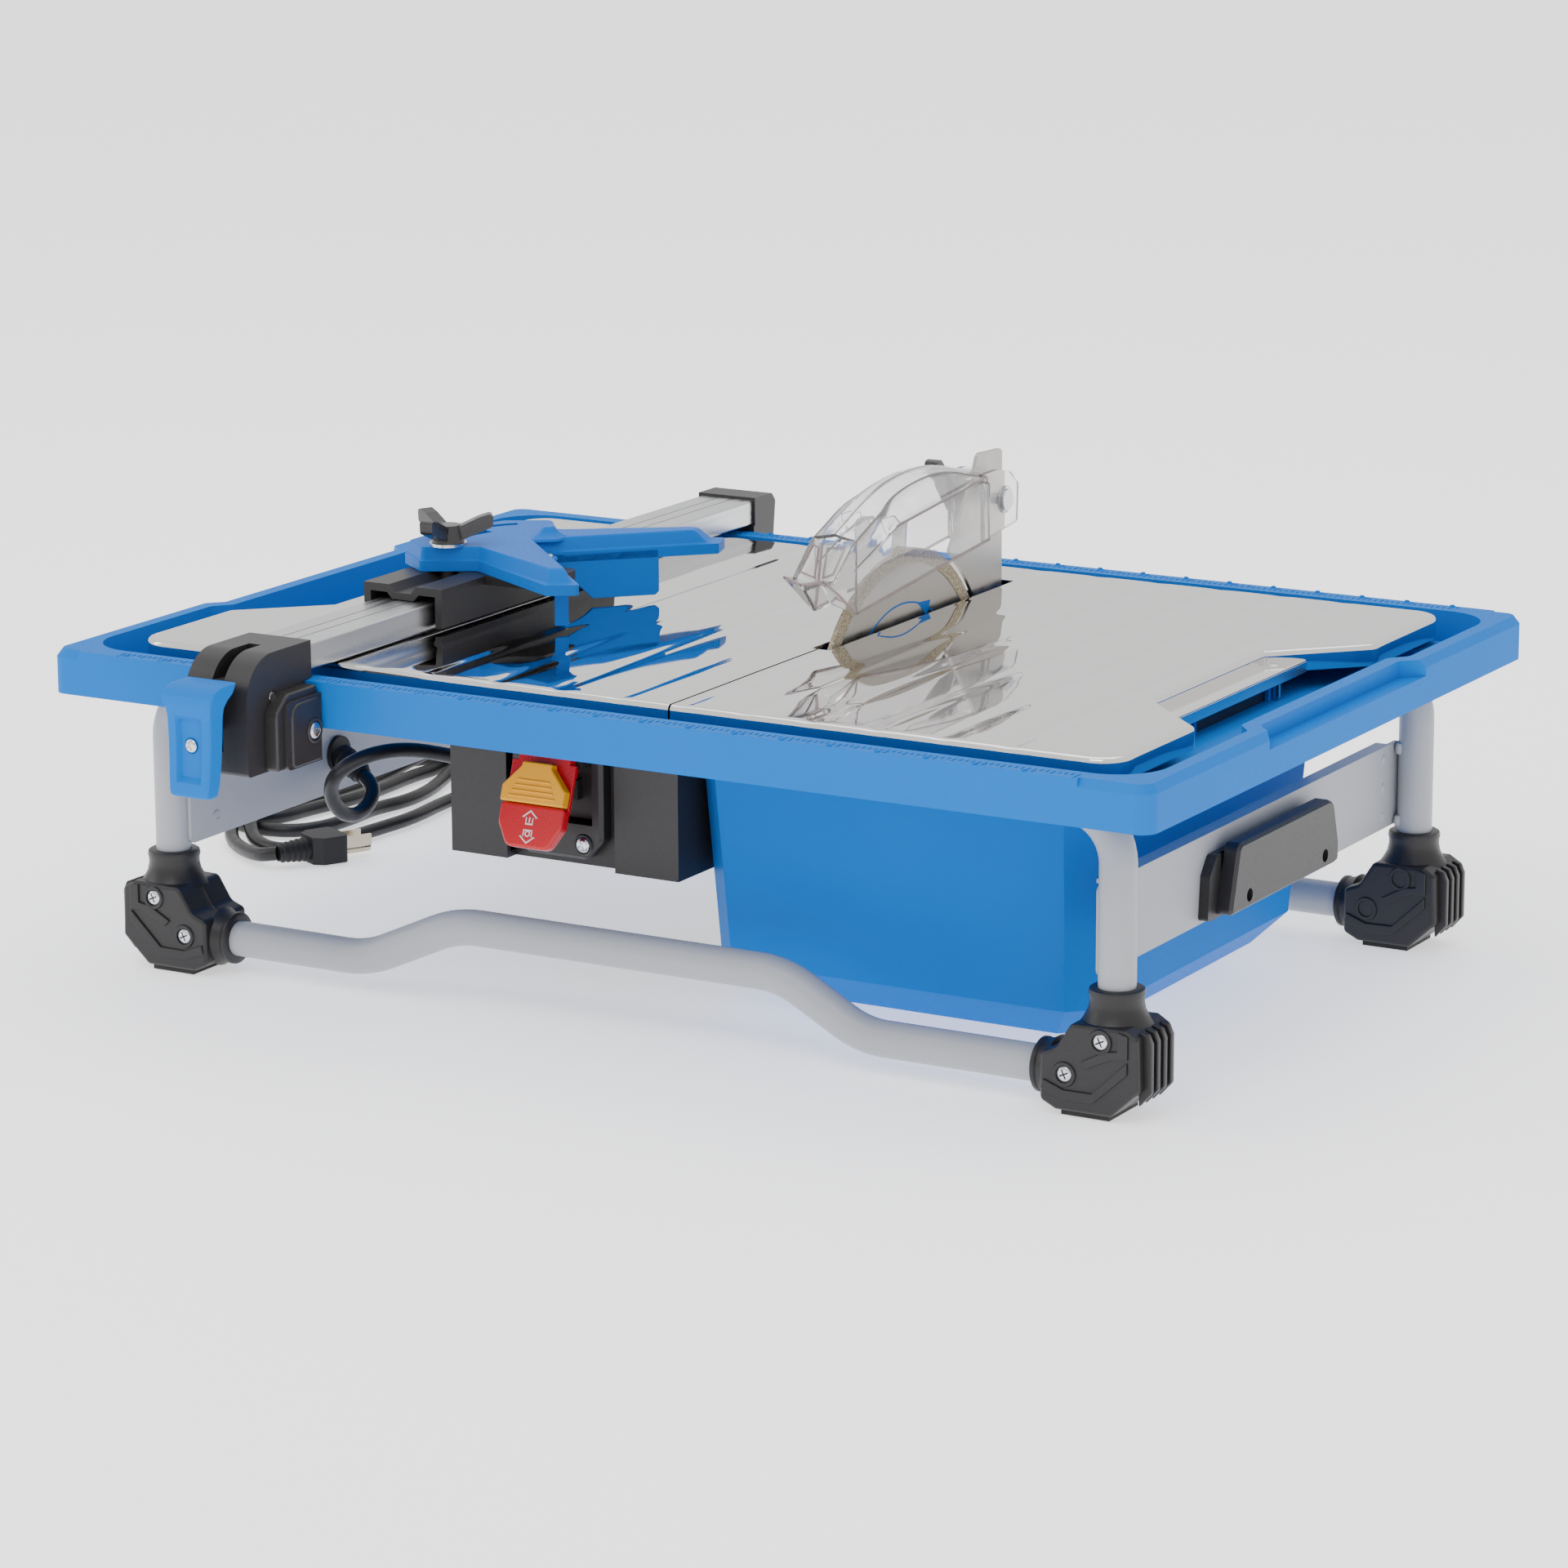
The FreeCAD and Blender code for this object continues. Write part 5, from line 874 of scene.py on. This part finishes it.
# ------------------------------------------------------------------ finishes on the design's own pieces
table_of = {
    "blue": ["pan"], "paint": ["upper_tube_front", "upper_tube_rear", "lower_tube_front", "lower_tube_rear", "side_plate_left", "side_plate_right"],
    "rubber": ["foot_pads", "shaft_seal", "strain_relief", "power_plug", "fence_clamp_pad"],
    # splash_baffle takes the black finish as painted shade: a dark plate put where the tub under the right notch lies
    # in shadow
    "black": ["handle_inner", "handle_outer", "fence_end_cap", "fence_lock_housing", "switch_plate", "switch_body", "splash_baffle", "miter_channel"],
    "motor": ["motor_housing", "cooling_fan"],
    "knob": ["miter_knob", "guard_knob"],
    "core": ["stator_core", "rotor_core"], "copper": ["stator_windings"],
    "zinc": ["shaft_bearings", "arbor_shaft", "blade_flanges", "arbor_nut", "knife_bracket", "table_bracket", "knob_stud", "guard_bolt"],
    "blade": ["blade_core"], "grit": ["diamond_rim"], "knife": ["riving_knife"], "alu": ["fence_rail"], "brass": ["plug_prongs"]}
for key, names in table_of.items():
    for nme in names:
        o = dress(nme, key)
        shade(o, 30)
for nme, w, sg, an in (("pan", 0.9, 3, 25), ("side_plate_left", 0.5, 2, 35), ("side_plate_right", 0.5, 2, 35), ("handle_inner", 0.8, 2, 30), ("handle_outer", 0.9, 3, 28),
                       ("motor_housing", 1.4, 3, 35), ("switch_plate", 0.8, 3, 28), ("switch_body", 0.5, 2, 35), ("fence_rail", 0.45, 2, 35), ("fence_end_cap", 1.0, 3, 35),
                       ("fence_lock_housing", 1.3, 3, 35), ("miter_channel", 0.5, 2, 28), ("miter_knob", 1.1, 3, 28), ("guard_knob", 0.9, 3, 28), ("riving_knife", 0.35, 2, 35),
                       ("splash_baffle", 0.4, 2, 35), ("power_plug", 1.4, 3, 35), ("plug_prongs", 0.25, 2, 35), ("knife_bracket", 0.4, 2, 35), ("table_bracket", 0.4, 2, 35),
                       ("foot_pads", 0.4, 2, 35), ("arbor_nut", 0.5, 2, 35)):
    soften(frame["nodes"][nme], w / 1000.0, sg, an)

# ribs of the moulded relief on the plug end and by the plate
ax = Vector((math.cos(math.radians(62)), math.sin(math.radians(62)), 0))
def ring_at(name, c, d, r, w, key, body="base", n=28):
    d = Vector(d).normalized(); a = d.orthogonal().normalized(); b3 = d.cross(a)
    rr_ = []
    for t, q in ((-w, 0.9), (-w * 0.5, 1.0), (w * 0.5, 1.0), (w, 0.9)):
        rr_.append([tuple(Vector(c) + d * t + (a * math.cos(2 * math.pi * k / n) + b3 * math.sin(2 * math.pi * k / n)) * r * q) for k in range(n)])
    return loft(name, rr_, key, body, smooth=50)
for i in range(5):
    t = 2.5 + i * 3.3
    c = Vector((-335, 14, 8.2)) + ax * t
    ring_at("plug_rib_%d" % i, c, ax, 5.5 + i * 0.3, 0.9, "rubber")
D0 = Vector((0.88, -0.30, -0.37)).normalized(); S0 = Vector((-253.6, -39.9, 83.5))
for i in range(4):
    ring_at("relief_rib_%d" % i, S0 + D0 * (4 + i * 4.2), D0, 7.0 - i * 0.35, 0.9, "rubber")
nodes = frame["nodes"]

# slot_of pairs each finish key with a slot of the record; the loop below finds each new piece's key but keeps nothing
slot_of = {"blue": "tray_plastic", "gauge": "gauge_plastic", "black": "black_plastic", "motor": "motor_plastic", "foot": "black_plastic", "red": "red_plastic",
           "yellow": "yellow_plastic", "knob": "black_plastic", "rubber": "cord_rubber", "cord": "cord_rubber", "paint": "frame_paint", "mirror": "table_steel",
           "alu": "fence_aluminium", "zinc": "zinc", "blade": "blade_steel", "knife": "blade_steel", "core": "core_steel", "copper": "copper_wire", "brass": "brass",
           "grit": "diamond_band", "clear": "clear_guard", "edge": "clear_guard"}
own = {o.name for o in frame["nodes"].values()}
for o in bpy.data.objects:
    if o.type in ("MESH", "CURVE") and o.name not in own and o.data.materials and o.data.materials[0]:
        for key, sl in slot_of.items():
            if o.data.materials[0] == M[key]:
                break

# ------------------------------------------------------------------ stage and light
sc_ = bpy.context.scene
fm, nt, b = new_mat("floor_white")
fn = noise(nt, 3, 2)
nt.links.new(ramp(nt, fn.outputs["Fac"], 0.3, 0.7, 0.55, 0.62), b.inputs["Roughness"])
b.inputs["Base Color"].default_value = (0.93, 0.93, 0.93, 1)
b.inputs["Specular IOR Level"].default_value = 0.1
b.inputs["Emission Color"].default_value = (1, 1, 1, 1); b.inputs["Emission Strength"].default_value = 0.9
me = bpy.data.meshes.new("floor"); s = 40.0
me.from_pydata([(-s, -s, -0.0004), (s, -s, -0.0004), (s, s, -0.0004), (-s, s, -0.0004)], [], [(0, 1, 2, 3)])
floor = bpy.data.objects.new("floor", me); bpy.context.collection.objects.link(floor)
me.materials.append(fm)
w = bpy.data.worlds.new("studio"); sc_.world = w; w.use_nodes = True
bg = w.node_tree.nodes["Background"]; bg.inputs["Color"].default_value = (1.0, 1.0, 1.0, 1); bg.inputs["Strength"].default_value = 1.15


def area(name, loc, aim, sx_, sy_, power, col=(1, 1, 1)):
    ld = bpy.data.lights.new(name, "AREA"); ld.shape = "RECTANGLE"; ld.size = sx_; ld.size_y = sy_; ld.energy = power; ld.color = col
    o = bpy.data.objects.new(name, ld); bpy.context.collection.objects.link(o)
    o.location = loc
    o.rotation_euler = (Vector(aim) - Vector(loc)).to_track_quat("-Z", "Y").to_euler()
    return o


area("key", (0.3, -1.9, 2.3), (0, 0, 0.1), 1.8, 1.0, 20)
area("top", (-0.2, 0.5, 2.6), (0, 0, 0.15), 2.6, 2.0, 26)
area("left", (-2.3, -1.0, 1.3), (0, 0, 0.1), 1.0, 1.6, 12)

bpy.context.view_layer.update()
